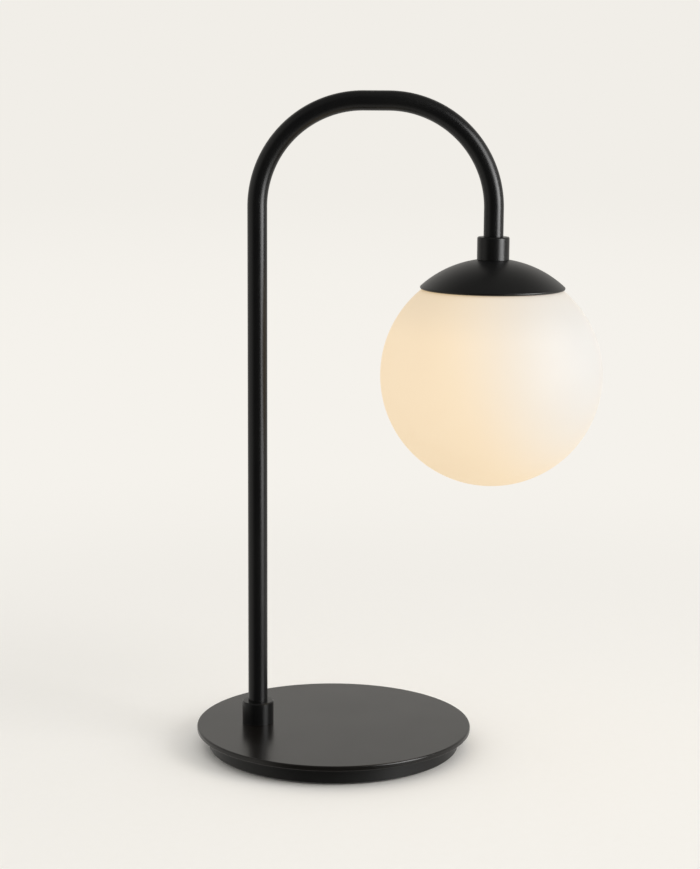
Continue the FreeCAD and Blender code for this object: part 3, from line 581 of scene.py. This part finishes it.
def hexagon_socket(radius, low, high, flats, depth, cone=0.0):
    """Upright screw blank with a hexagon socket in its lower end."""
    steps, bevel, head = 48, 0.15, radius + cone
    work = bmesh.new()

    def circle(r, z, hexagon=False):
        """Ring of points at this radius, or on a hexagon that fits round it."""
        made = []
        for k in range(steps):
            angle = tau * k / steps
            from_flat = (angle + pi / 6) % (pi / 3) - pi / 6
            far = r / cos(from_flat) if hexagon else r
            made.append(work.verts.new((far * cos(angle), far * sin(angle), z)))
        return made

    shells = [
        circle(flats / 2, low + depth, True),
        circle(flats / 2, low + bevel, True),
        circle(flats / 2 + bevel, low, True),
        circle(head - bevel, low),
        circle(head, low + bevel),
        circle(radius, low + (cone or bevel) + bevel),
        circle(radius, high - 2 * bevel),
        circle(radius - 2 * bevel, high),
    ]
    for near, far in zip(shells, shells[1:]):
        for k in range(steps):
            n = (k + 1) % steps
            work.faces.new((near[k], near[n], far[n], far[k]))
    for rim, height in ((shells[0], low + depth), (shells[-1], high)):
        hub = work.verts.new((0, 0, height))
        for k in range(steps):
            work.faces.new((rim[k], rim[(k + 1) % steps], hub))
    bmesh.ops.recalc_face_normals(work, faces=work.faces)
    bmesh.ops.scale(work, vec=(MM, MM, MM), verts=work.verts)
    return ended(work)


# Geometry Nodes trees


def node_tree(name, sizes):
    """A geometry tree with one output and an input of its kind for each size."""
    tree = bpy.data.node_groups.new(name, "GeometryNodeTree")
    tree.interface.new_socket("Geometry", in_out="OUTPUT", socket_type="NodeSocketGeometry")
    for label, kind in sizes.items():
        tree.interface.new_socket(label, in_out="INPUT", socket_type="NodeSocket" + kind)
    return tree, tree.nodes.new("NodeGroupInput").outputs


def end_tree(tree, geometry, material):
    """Makes the geometry real, coats it and leads it out of the tree."""
    real = node(tree, "GeometryNodeRealizeInstances", {"Geometry": geometry})
    inputs = {"Geometry": real.outputs[0], "Material": material}
    coated = node(tree, "GeometryNodeSetMaterial", inputs)
    node(tree, "NodeGroupOutput", {0: coated.outputs[0]})


def sweep_tree(material):
    """Tube that follows a line with rounded corners: up the stem, over and down."""
    corners = ("Foot", "First corner", "Second corner", "End")
    sizes = dict.fromkeys(corners, "Vector")
    sizes |= {"Bend radius": "Float", "Tube radius": "Float"}
    sizes |= {"Steps in a bend": "Int", "Facets round": "Int"}
    tree, given = node_tree("bent_tube", sizes)
    points = {f"Point {k}": given[corner] for k, corner in enumerate(corners, 1)}
    line = node(tree, "GeometryNodeCurvePrimitiveQuadrilateral", points, mode="POINTS")
    inputs = {"Geometry": line.outputs[0], "Cyclic": False}
    opened = node(tree, "GeometryNodeSetSplineCyclic", inputs)
    inputs = {"Curve": opened.outputs[0], "Count": given["Steps in a bend"]}
    inputs |= {"Radius": given["Bend radius"]}
    rounded = node(tree, "GeometryNodeFilletCurve", inputs, mode="POLY")
    inputs = {"Resolution": given["Facets round"], "Radius": given["Tube radius"]}
    ring = node(tree, "GeometryNodeCurvePrimitiveCircle", inputs)
    inputs = {"Curve": rounded.outputs[0], "Profile Curve": ring.outputs[0]}
    skin = node(tree, "GeometryNodeCurveToMesh", inputs)
    end_tree(tree, skin.outputs[0], material)
    return tree


def circle_tree(name, material):
    """Copies of one piece on a circle, each turned to face outwards."""
    sizes = {"Piece": "Object", "Count": "Int", "Centre": "Vector"}
    sizes |= {"Circle radius": "Float", "First angle": "Float"}
    tree, given = node_tree(name, sizes)
    line = node(tree, "GeometryNodeMeshLine", {"Count": given["Count"], "Offset": (0, 0, 0)})
    order = node(tree, "GeometryNodeInputIndex").outputs[0]
    share = maths(tree, "DIVIDE", order, given["Count"])
    angle = maths(tree, "MULTIPLY_ADD", share, tau, given["First angle"])
    cosine, sine = maths(tree, "COSINE", angle), maths(tree, "SINE", angle)
    way = node(tree, "ShaderNodeCombineXYZ", {"X": cosine, "Y": sine})
    inputs = {0: way.outputs[0], "Scale": given["Circle radius"]}
    out = node(tree, "ShaderNodeVectorMath", inputs, operation="SCALE")
    spot = vector_maths(tree, "ADD", out.outputs[0], given["Centre"])
    inputs = {"Geometry": line.outputs[0], "Position": spot}
    spread = node(tree, "GeometryNodeSetPosition", inputs)
    piece = node(tree, "GeometryNodeObjectInfo", {"Object": given["Piece"]})
    turn = node(tree, "ShaderNodeCombineXYZ", {"Z": angle})
    inputs = {"Points": spread.outputs[0], "Instance": piece.outputs["Geometry"]}
    inputs |= {"Rotation": turn.outputs[0]}
    copies = node(tree, "GeometryNodeInstanceOnPoints", inputs)
    end_tree(tree, copies.outputs[0], material)
    return tree


def grown(name, tree, values, thickness=0.0):
    """Plain mesh of what a tree makes from these named values, with a wall if asked for."""
    holder = placed(name, bpy.data.meshes.new(name))
    modifier = holder.modifiers.new(name, "NODES")
    modifier.node_group = tree
    for item in tree.interface.items_tree:
        if item.in_out == "INPUT" and item.name in values:
            modifier[item.identifier] = values[item.name]
    if thickness:
        wall = holder.modifiers.new("wall", "SOLIDIFY")
        wall.thickness = thickness
        wall.offset = -1
    bpy.context.view_layer.update()
    seen = holder.evaluated_get(bpy.context.evaluated_depsgraph_get())
    mesh = bpy.data.meshes.new_from_object(seen)
    bpy.data.objects.remove(holder)
    return mesh


def ring_of(name, template, material, count, radius, centre=(0, 0, 0), first=0.0):
    """Mesh of a template's copies on a circle, the first at this angle in degrees."""
    model = placed(name + "_model", template)
    values = {
        "Piece": model,
        "Count": count,
        "Circle radius": radius * MM,
        "First angle": radians(first),
        "Centre": [c * MM for c in centre],
    }
    mesh = grown(name, circle_tree(name, material), values)
    bpy.data.objects.remove(model)
    soften(mesh)
    return mesh


def dress(name, material):
    """Gives a CAD node that keeps its shape its material."""
    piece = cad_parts[name]
    piece.data.materials.clear()
    piece.data.materials.append(material)


# Sizes and colours that a user would change


def length(name, description, default):
    return FloatProperty(name=name, description=description, default=default, unit="LENGTH")


def strength(name, description, default):
    return FloatProperty(name=name, description=description, default=default, min=0.0)


def swatch(name, description, default):
    return FloatVectorProperty(
        name=name, description=description, default=linear(default), subtype="COLOR", size=4
    )


class BaseSizes(bpy.types.PropertyGroup):
    """The round plate."""
    plate_radius: length(
        "Plate radius", "Radius of the plate that shows from above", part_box("base_plate")[1][1]
    )
    plate_top: length(
        "Plate top", "Height of the plate's top face above the table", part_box("base_plate")[1][2]
    )
    plate_thickness: length("Plate thickness", "Thickness of the steel plate", 0.004)
    plate_edge: length("Plate edge rounding", "Rounding round the plate's top edge", 0.0012)


class TubeSizes(bpy.types.PropertyGroup):
    """The bent tube."""
    radius: length("Tube radius", "Outer radius of the tube", 0.008)
    wall: length("Tube wall", "Thickness of the tube's wall", 0.0012)
    bend: length("Bend radius", "Radius of both bends at the middle of the tube", 0.085)
    top: length(
        "Arch height",
        "Height of the middle of the tube at the top of the arch",
        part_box("stem_tube")[1][2] - 0.008,
    )
    steps: IntProperty(
        name="Steps in a bend", description="Cross sections in each bend", default=72, min=8
    )


class GlobeSizes(bpy.types.PropertyGroup):
    """The glass globe and its glow."""
    radius: length("Globe radius", "Outer radius of the glass", 0.090)
    wall: length("Glass thickness", "Thickness of the glass", 0.003)
    warm: swatch("Warm glow", "Colour of the glass where it is lit from inside only", "F8D7A4")
    # Painted light: the pale glow is the emission colour painted on the side where the room's light
    # falls
    pale: swatch("Pale glow", "Colour of the glass where the room's light falls on it", "A8B2C0")
    # Painted glow: emission in the glass that stands in for the bulb's light passing through it
    glow: strength("Glow strength", "How strongly the glass glows", 0.63)


class StageSettings(bpy.types.PropertyGroup):
    """Floor, backdrop, lights and camera."""
    paper: swatch("Paper", "Colour of the paper near the lamp", "F4F1EC")
    backdrop: swatch("Backdrop", "Colour of the backdrop and of the far floor", "F1EEE8")
    fill: strength("Room light", "Strength of the even light of the room", 0.81)
    key_power: strength("Key light", "Power of the large soft light at the right", 150.0)
    shine_power: strength(
        "Highlights", "Power of the panel at the right that shows in glossy surfaces only", 60.0
    )
    strip_power: strength(
        "Strip highlight",
        "Power of the narrow strip that draws the bright line on the arch's end",
        1.35,
    )
    lens: FloatProperty(
        name="Lens", description="Focal length of the camera", default=84.79, unit="CAMERA"
    )


# Pieces


class LAMP_OT_base(bpy.types.Operator):
    """Make the steel plate with its studs and the pad, and finish the cast weight and gland"""
    bl_idname = "lamp.base"
    bl_label = "Weighted base"

    def execute(self, context):
        sizes = context.scene.lamp_base
        edge, top = sizes.plate_radius / MM, sizes.plate_top / MM
        bottom = top - sizes.plate_thickness / MM
        powder = black_powder_on_plate()
        section = outline(
            [(0, bottom), (edge, bottom, 0.6), (edge, top, sizes.plate_edge / MM), (0, top)],
            count=8,
        )
        radius, low, high = 2.5, 3.7, 16
        stud = outline([(0, low), (radius, low, 0.4), (radius, high), (0, high)])
        studs = ring_of("studs", turned(stud, 0, 32), powder, 3, STUD_CIRCLE)
        plate = joined([turned(section, 0, 256), studs])
        finish_piece("steel_base_plate", plate, powder, ["base_plate"])
        radius, high = 100, 1.2
        pad = outline([(0, 0), (radius, 0, 0.4), (radius, high, 0.3), (0, high)])
        finish_piece("foam_pad", turned(pad, 0, 192), foam_rubber(), ["base_pad"])
        dress("base_body", black_powder_on_iron())
        dress("cord_gland", black_nylon())
        return {"FINISHED"}


class LAMP_OT_tube(bpy.types.Operator):
    """Bend the tube along the stem and the arch, and finish the two collars"""
    bl_idname = "lamp.tube"
    bl_label = "Stem, arch and collars"

    def execute(self, context):
        sizes = context.scene.lamp_tube
        powder = black_powder_on_tube()
        end = 0.410785
        values = {
            "Foot": (STEM_X * MM, 0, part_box("stem_tube")[0][2]),
            "First corner": (STEM_X * MM, 0, sizes.top),
            "Second corner": (GLOBE_X * MM, 0, sizes.top),
            "End": (GLOBE_X * MM, 0, end),
            "Bend radius": sizes.bend,
            "Tube radius": sizes.radius,
            "Steps in a bend": sizes.steps,
            "Facets round": 72,
        }
        mesh = grown("bent_steel_tube", sweep_tree(powder), values, sizes.wall)
        outward(mesh)
        soften(mesh)
        finish_piece("bent_steel_tube", mesh, powder, ["stem_tube"])
        for collar in ("foot_collar", "upper_collar"):
            dress(collar, powder)
        return {"FINISHED"}


class LAMP_OT_cap(bpy.types.Operator):
    """Spin the domed cap with its rolled rim, and the threaded gallery inside it"""
    bl_idname = "lamp.cap"
    bl_label = "Cap and gallery"

    def execute(self, context):
        hole, land_edge, land_radius, top, under = 5.2, 11.2, 11.7, 407.785, 406.585
        centre, ball, wall = 322.28, 86.3, 1.2
        bead, bead_r, bead_z, bead_turn = 1.2, 57.3, 385.2, 271
        inner = ball - wall
        soft_edge = 0.1
        land = angle_at_radius(land_radius, ball) - soft_edge
        lean = angle_at_radius(bead_r, ball - bead)
        join = lean + degrees(bead / inner)
        section = [(hole, top), (land_edge, top)] + arc(0, centre, ball, land, lean, 72)
        section += arc(bead_r, bead_z, bead, lean, lean - bead_turn, 28)[1:]
        section += arc(0, centre, inner, join, angle_at_height(under - centre, inner), 64)
        section += [(hole, under)]
        cap = turned(section, GLOBE_X, 256)
        finish_piece("spun_cap", cap, black_powder_on_cap(), ["shade_cap"])
        outer, inside, skirt, bore, low, roof = 84.8, 83.8, 41.95, 41.3, 386.5, 405.585
        flat_out = angle_at_height(under - centre, outer)
        flat_in = angle_at_height(roof - centre, inside)
        cup = [(hole, under)]
        cup += arc(0, centre, outer, flat_out, angle_at_radius(skirt, outer), 24)
        cup += divided([(skirt, cup[-1][1]), (skirt, low)], THREAD_STEP)[1:]
        lining = arc(0, centre, inside, angle_at_radius(bore, inside), flat_in, 24)
        cup += divided([(bore, low), lining[0]], THREAD_STEP) + lining[1:] + [(hole, roof)]
        groove = thread(NECK_PITCH, -0.68, low=387.2, high=395.4, run_out=1.4, walls=(skirt, bore))
        gallery = turned(cup, GLOBE_X, 192, groove)
        finish_piece("threaded_gallery", gallery, zinc_plate(), ["globe_gallery"])
        return {"FINISHED"}


def ball_and_shoulder(radius, soft, flat, count):
    """Section of the globe from its lowest point up to a flat shoulder, rounded over."""
    rise = flat - soft - GLOBE_CENTRE
    middle_r = sqrt((radius - soft) ** 2 - rise**2)
    lean = degrees(atan2(rise, middle_r))
    section = arc(0, GLOBE_CENTRE, radius, -90, lean, count)
    section[0] = (0.0, section[0][1])
    return section + arc(middle_r, flat - soft, soft, lean, 90, 12)[1:]


class LAMP_OT_globe(bpy.types.Operator):
    """Blow the opal globe with its sunk shoulder and threaded neck, and lay its gasket"""
    bl_idname = "lamp.globe"
    bl_label = "Globe and gasket"

    def execute(self, context):
        sizes = context.scene.lamp_globe
        outer, wall, soft, flat = sizes.radius / MM, sizes.wall / MM, 5.0, 384.4
        neck, bore, lip, lip_round, root, beyond = 39.4, 37.0, 394.92, 1.15, 2.0, 52
        section = ball_and_shoulder(outer, soft, flat, 120)
        section += outline(
            [(section[-1][0], flat), (neck, flat, root), (neck, lip, lip_round),
             (bore, lip, lip_round), (bore, flat - wall, root), (beyond, flat - wall)],
            count=8,
        )[1:-1]
        neck_side = [k for k, point in enumerate(section) if abs(point[0] - neck) < 0.01]
        first, last = neck_side[0], neck_side[-1]
        section[first:last + 1] = divided(section[first:last + 1], THREAD_STEP)
        section += ball_and_shoulder(outer - wall, soft, flat - wall, 110)[::-1]
        ridge = thread(NECK_PITCH, 1.0, low=386.9, high=394.2, run_out=1.2, walls=(neck,))
        glass = opal_glass(tuple(sizes.warm), tuple(sizes.pale), sizes.glow)
        globe = turned(section, GLOBE_X, 256, ridge)
        finish_piece("opal_globe", globe, glass, ["globe"], "globe")
        hole, edge, low, high = 42.35, 46, 384.5, 386.4
        # Its top face has a shallow groove all round
        seal = outline(
            [(hole, low, 0.35), (edge, low, 0.7), (edge, high, 0.7), (44.4, high, 0.2),
             (44.2, high - 0.35, 0.15), (44.0, high, 0.2), (hole, high, 0.35)],
            count=4,
        )
        ring, rubber = turned(seal, GLOBE_X), silicone_rubber()
        finish_piece("gasket_ring", ring, rubber, ["globe_gasket"], "globe_gasket")
        return {"FINISHED"}


class LAMP_OT_holder(bpy.types.Operator):
    """Mould the ribbed lamp holder, roll its screw shell and finish its insert"""
    bl_idname = "lamp.holder"
    bl_label = "Lamp holder"

    def execute(self, context):
        resin = phenolic()
        top, split, mouth, radius, wall = 403.085, 384.085, 352.085, 19.5, 2.2
        inner, roof, boss, nipple, throat = radius - wall, top - wall, 7.5, 5.0, 14.1
        cap = outline(
            [(nipple, top), (radius - 6.5, top, 0.6), (radius, top - 6.5, 5.0),
             (radius, split + 5.2, 0.2), (radius - 0.5, split + 4.9, 0.1),
             (radius - 0.5, split + 4.3, 0.1), (radius, split + 4.0, 0.2), (radius, split, 0.2),
             (inner, split), (inner, roof - 3.5, 3.0), (inner - 4.5, roof, 1.5), (boss, roof),
             (boss, top - 8), (nipple, top - 8)],
        )
        holder_top = turned(cap, GLOBE_X, 128)
        finish_piece("holder_top", holder_top, resin, ["holder_cap"])
        skirt = outline(
            [(inner, split), (radius, split, 0.2), (radius, split - 2.2, 0.2),
             (radius - 0.6, split - 2.6, 0.15), (radius - 0.6, mouth + 4.2, 0.15),
             (radius, mouth + 3.8, 0.2), (radius, mouth + 1.2, 0.4), (radius - 1.2, mouth, 0.4),
             (throat, mouth, 0.3), (throat, mouth + 2), (inner, mouth + 4)],
        )
        thick, sunk, count = 0.55, 0.58, 40
        rib = outline(
            [(0, split - 3.4), (thick, split - 3.6, 0.2), (thick, mouth + 5.2, 0.2),
             (0, mouth + 5.0)]
        )
        rib = turned(rib, 0, 12)
        ribs = ring_of("grip_ribs", rib, resin, count, radius - sunk, (GLOBE_X, 0, 0))
        body = joined([turned(skirt, GLOBE_X), ribs])
        finish_piece("holder_skirt", body, resin, ["holder_body"])
        bore, outer, low, high = 13.4, 13.8, mouth + 3, 380.085
        sleeve = divided(
            [(bore, low), (outer, low), (outer, high), (bore, high)], THREAD_STEP, closed=True
        )
        groove = thread(BULB_PITCH, BULB_DEPTH, mouth + 4.6, high - 1, 1.5, (bore, outer))
        shell, brass = turned(sleeve, GLOBE_X, 128, groove), turned_brass()
        finish_piece("holder_threaded_shell", shell, brass, ["holder_screw_shell"])
        dress("holder_core", steatite())
        dress("holder_contact", brass)
        return {"FINISHED"}


def bulb_section(offset):
    """Envelope from its lowest point up to the rim of its neck, set in by the offset."""
    radius, neck, throat, centre, lean = 30.0 - offset, 12.8 - offset, 16.0 + offset, 301.485, 30
    slope = radians(lean)
    belly = (radius * cos(slope), centre + radius * sin(slope))
    throat_r = neck + throat * (1 - cos(slope))
    throat_z = belly[1] + (belly[0] - throat_r) / tan(slope)
    end_z = throat_z + throat * sin(slope)
    section = arc(0, centre, radius, -90, lean, 48)
    section[0] = (0.0, section[0][1])
    section += arc(neck + throat, end_z, throat, 180 + lean, 180, 14)
    return section + [(neck, 356.485)]


class LAMP_OT_bulb(bpy.types.Operator):
    """Make the frosted bulb with its rolled screw cap and glass tip"""
    bl_idname = "lamp.bulb"
    bl_label = "Bulb"

    def execute(self, context):
        low, cap_top, tip, glass_wall = 353.485, 374.485, 378.485, 0.8
        envelope = turned(bulb_section(0.0) + bulb_section(glass_wall)[::-1], GLOBE_X)
        glass = frosted_bulb_glass()
        finish_piece("bulb_envelope", envelope, glass, ["bulb_glass"], "bulb")
        outer, inside, rim, grip, crown, crown_in = 12.35, 12.0, 13.1, 12.81, 9.0, 8.4
        walls = [(grip, low), (rim, low), (rim, low + 3.6), (outer, low + 4.4),
                 (outer, cap_top - 2.0), (crown, cap_top), (crown_in, cap_top - 0.6),
                 (inside, cap_top - 2.4), (inside, low + 4.6), (grip, low + 3.4)]
        groove = thread(BULB_PITCH, BULB_DEPTH, low + 4.2, cap_top - 2.6, 1.6, (inside, outer))
        cap = turned(divided(walls, THREAD_STEP, closed=True), GLOBE_X, 128, groove)
        finish_piece("bulb_screw_cap", cap, nickel_plate(), ["bulb_cap"], "bulb")
        section = outline(
            [(0, cap_top - 0.6), (crown_in, cap_top - 0.6), (crown, cap_top, 0.2),
             (6.9, cap_top + 1.5, 0.6), (5.2, tip - 1.1, 0.3), (4.8, tip - 0.8), (0, tip - 0.8)],
        )
        insulator = turned(section, GLOBE_X, 96)
        glass = insulator_glass()
        finish_piece("bulb_insulator", insulator, glass, ["bulb_tip"], "bulb")
        section = outline(
            [(0, tip - 0.82), (4.6, tip - 0.82), (4.4, tip - 0.4, 0.3), (3.0, tip, 0.5), (0, tip)]
        )
        button = turned(section, GLOBE_X, 64)
        brass = bpy.data.materials["turned_brass"]
        finish_piece("bulb_contact_button", button, brass, body="bulb")
        return {"FINISHED"}


class LAMP_OT_fastenings(bpy.types.Operator):
    """Repeat the screws, nuts and washers, and cut the threads of the nipples"""
    bl_idname = "lamp.fastenings"
    bl_label = "Screws, nuts and nipples"

    def execute(self, context):
        zinc = bpy.data.materials["zinc_plated_steel"]
        brass = bpy.data.materials["turned_brass"]
        cover_circle = 86.0
        cover_screw = hexagon_socket(2.0, low=1.2, high=9.7, flats=2.5, depth=1.3, cone=1.6)
        screws = ring_of("cover_screw_set", cover_screw, zinc, 4, cover_circle, first=45)
        finish_piece("cover_screw_set", screws, zinc, ["cover_screws"])
        hole, rim, low, high = 2.7, 5, 8, 9
        washer = outline([(hole, low, 0.1), (rim, low, 0.15), (rim, high, 0.15), (hole, high, 0.1)])
        washers = ring_of("stud_washer_set", turned(washer, 0, 48), zinc, 3, STUD_CIRCLE)
        finish_piece("stud_washer_set", washers, zinc, ["plate_washers"])
        # The collars' grub screws lie on their sides, with the socket towards the back
        inner_end = 8.15
        for name, x, z in (("foot_grub", STEM_X, 27.0), ("upper_grub", GLOBE_X, 418.785)):
            blank = hexagon_socket(1.9, low=-4.0, high=-0.15, flats=2.0, depth=1.8)
            blank.transform(Matrix.Rotation(radians(90), 4, "X"))
            screw = ring_of(name, blank, zinc, 1, 0.0, (x, inner_end, z))
            finish_piece(name + "_socket_screw", screw, zinc, [name + "_screw"])
        pitch, bore, crest, chamfer = 1.0, 3.5, 4.98, 0.4
        for name in ("lower_nipple", "upper_nipple"):
            low, high = (c[2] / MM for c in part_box(name))
            start, end = low + chamfer, high - chamfer
            cut = thread(pitch, -0.28, start, end, run_out=0.4, walls=(crest,))
            section = [(bore, high), (bore, low), (4.6, low)]
            section += divided([(crest, start), (crest, end)], 0.2) + [(4.6, high)]
            rod = turned(section, axis_of(name), 64, cut)
            finish_piece(name + "_threaded", rod, zinc, [name])
        for name in ("plate_nuts", "stem_washer", "stem_nut", "pendant_nut", "block_screw",
                     "bottom_cover"):
            dress(name, zinc)
        for name in ("terminal_screws", "holder_terminal_screws", "lower_bushing", "upper_bushing"):
            dress(name, brass)
        dress("terminal_block", white_polyamide())
        dress("tube_leads", lead_insulation())
        return {"FINISHED"}


# Stage


class LAMP_OT_stage(bpy.types.Operator):
    """Lay the paper, set the room light and the lamps of the studio, and place the camera"""
    bl_idname = "lamp.stage"
    bl_label = "Stage, light and camera"

    def execute(self, context):
        scene = context.scene
        sizes = scene.lamp_stage
        scene.view_settings.view_transform = "Standard"
        self.lay_paper(tuple(sizes.paper), tuple(sizes.backdrop))
        self.set_world(scene, tuple(sizes.backdrop), sizes.fill)
        for name, power, spot, target, width, height in (
            ("key_softbox", sizes.key_power, (4.50, -1.95, 2.25), (0.0, 0.0, 0.20), 3.0, 3.0),
            ("shine_panel", sizes.shine_power, (1.85, -1.00, 0.80), (0.0, 0.0, 0.45), 1.3, 2.2),
            ("shine_strip", sizes.strip_power, (0.69, -0.25, 0.50), (0.13, 0.0, 0.47), 0.24, 0.25),
        ):
            light = bpy.data.lights.new(name, "AREA")
            light.shape = "RECTANGLE"
            light.size = width
            light.size_y = height
            light.energy = power
            stand = self.aimed(placed(name, light), spot, Vector(target) - Vector(spot))
            stand.visible_camera = False
            stand.visible_diffuse = name == "key_softbox"
            stand.visible_glossy = name != "key_softbox"
        camera = bpy.data.cameras.new("camera")
        camera.lens = sizes.lens
        camera.sensor_width = 36
        camera.clip_end = 100
        yaw, pitch, roll = (radians(a) for a in (1.77, 9.67, 0.35))
        way = Vector((-sin(yaw) * cos(pitch), cos(yaw) * cos(pitch), -sin(pitch)))
        spot = (0.0632, -1.6495, 0.5449)
        scene.camera = self.aimed(placed("camera", camera), spot, way, roll)
        return {"FINISHED"}

    def aimed(self, made, spot, way, roll=0.0):
        """Puts a light or a camera at a spot, looking along the way."""
        made.location = spot
        made.rotation_mode = "QUATERNION"
        made.rotation_quaternion = way.to_track_quat("-Z", "Y") @ Quaternion((0, 0, 1), roll)
        return made

    def lay_paper(self, near_colour, far_colour):
        """A round sheet that reaches far past the camera, unseen by glossy surfaces."""
        work = bmesh.new()
        bmesh.ops.create_circle(work, cap_ends=True, segments=128, radius=60)
        mesh = ended(work)
        mesh.materials.append(studio_floor(near_colour, far_colour))
        paper = placed("studio_paper", mesh)
        paper.visible_glossy = False

    def set_world(self, scene, backdrop, fill_strength):
        """A pale backdrop for the camera, even light for the floor, and for glossy surfaces a
        room that is dark in front, pale at the sides and back and dimmer overhead."""
        world = bpy.data.worlds.new("studio_room")
        scene.world = world
        world.use_nodes = True
        tree = world.node_tree
        tree.nodes.clear()
        way = node(tree, "ShaderNodeTexCoord").outputs["Generated"]
        parts = node(tree, "ShaderNodeSeparateXYZ", {0: way}).outputs
        around = ramp(tree, parts["Y"], -0.85, -0.35, 0.05, 0.75)
        overhead = ramp(tree, parts["Z"], 0.4, 0.9, 1.0, 0.35)
        pale = maths(tree, "MULTIPLY", around, overhead)
        even_white = linear("FFFFFE")
        room, even, seen = (
            node(tree, "ShaderNodeBackground", {"Color": tint, "Strength": power})
            for tint, power in ((backdrop, pale), (even_white, fill_strength), (backdrop, 1.0))
        )
        ray = node(tree, "ShaderNodeLightPath").outputs
        lighting = mix_shaders(tree, ray["Is Glossy Ray"], even, room)
        both = mix_shaders(tree, ray["Is Camera Ray"], lighting, seen)
        node(tree, "ShaderNodeOutputWorld", {"Surface": both.outputs[0]})


class LAMP_PT_panel(bpy.types.Panel):
    """Lists the lamp's sizes and colours, and the steps that make it"""
    bl_idname = "LAMP_PT_panel"
    bl_label = "Globe table lamp"
    bl_space_type = "VIEW_3D"
    bl_region_type = "UI"
    bl_category = "Lamp"

    def draw(self, context):
        layout = self.layout
        for group in GROUPS:
            sizes = getattr(context.scene, group)
            for name in sizes.__annotations__:
                layout.prop(sizes, name)
        for step in STEPS:
            layout.operator(step.bl_idname)


GROUPS = {
    "lamp_base": BaseSizes,
    "lamp_tube": TubeSizes,
    "lamp_globe": GlobeSizes,
    "lamp_stage": StageSettings,
}
STEPS = (
    LAMP_OT_stage,
    LAMP_OT_base,
    LAMP_OT_tube,
    LAMP_OT_cap,
    LAMP_OT_globe,
    LAMP_OT_holder,
    LAMP_OT_bulb,
    LAMP_OT_fastenings,
)


def register():
    for made in (*GROUPS.values(), *STEPS, LAMP_PT_panel):
        bpy.utils.register_class(made)
    for name, group in GROUPS.items():
        setattr(bpy.types.Scene, name, PointerProperty(type=group))


def unregister():
    for name in GROUPS:
        delattr(bpy.types.Scene, name)
    for made in reversed((*GROUPS.values(), *STEPS, LAMP_PT_panel)):
        bpy.utils.unregister_class(made)


def main():
    register()
    for step in STEPS:
        getattr(bpy.ops.lamp, step.bl_idname.split(".")[1])()


if __name__ == "__main__":
    main()
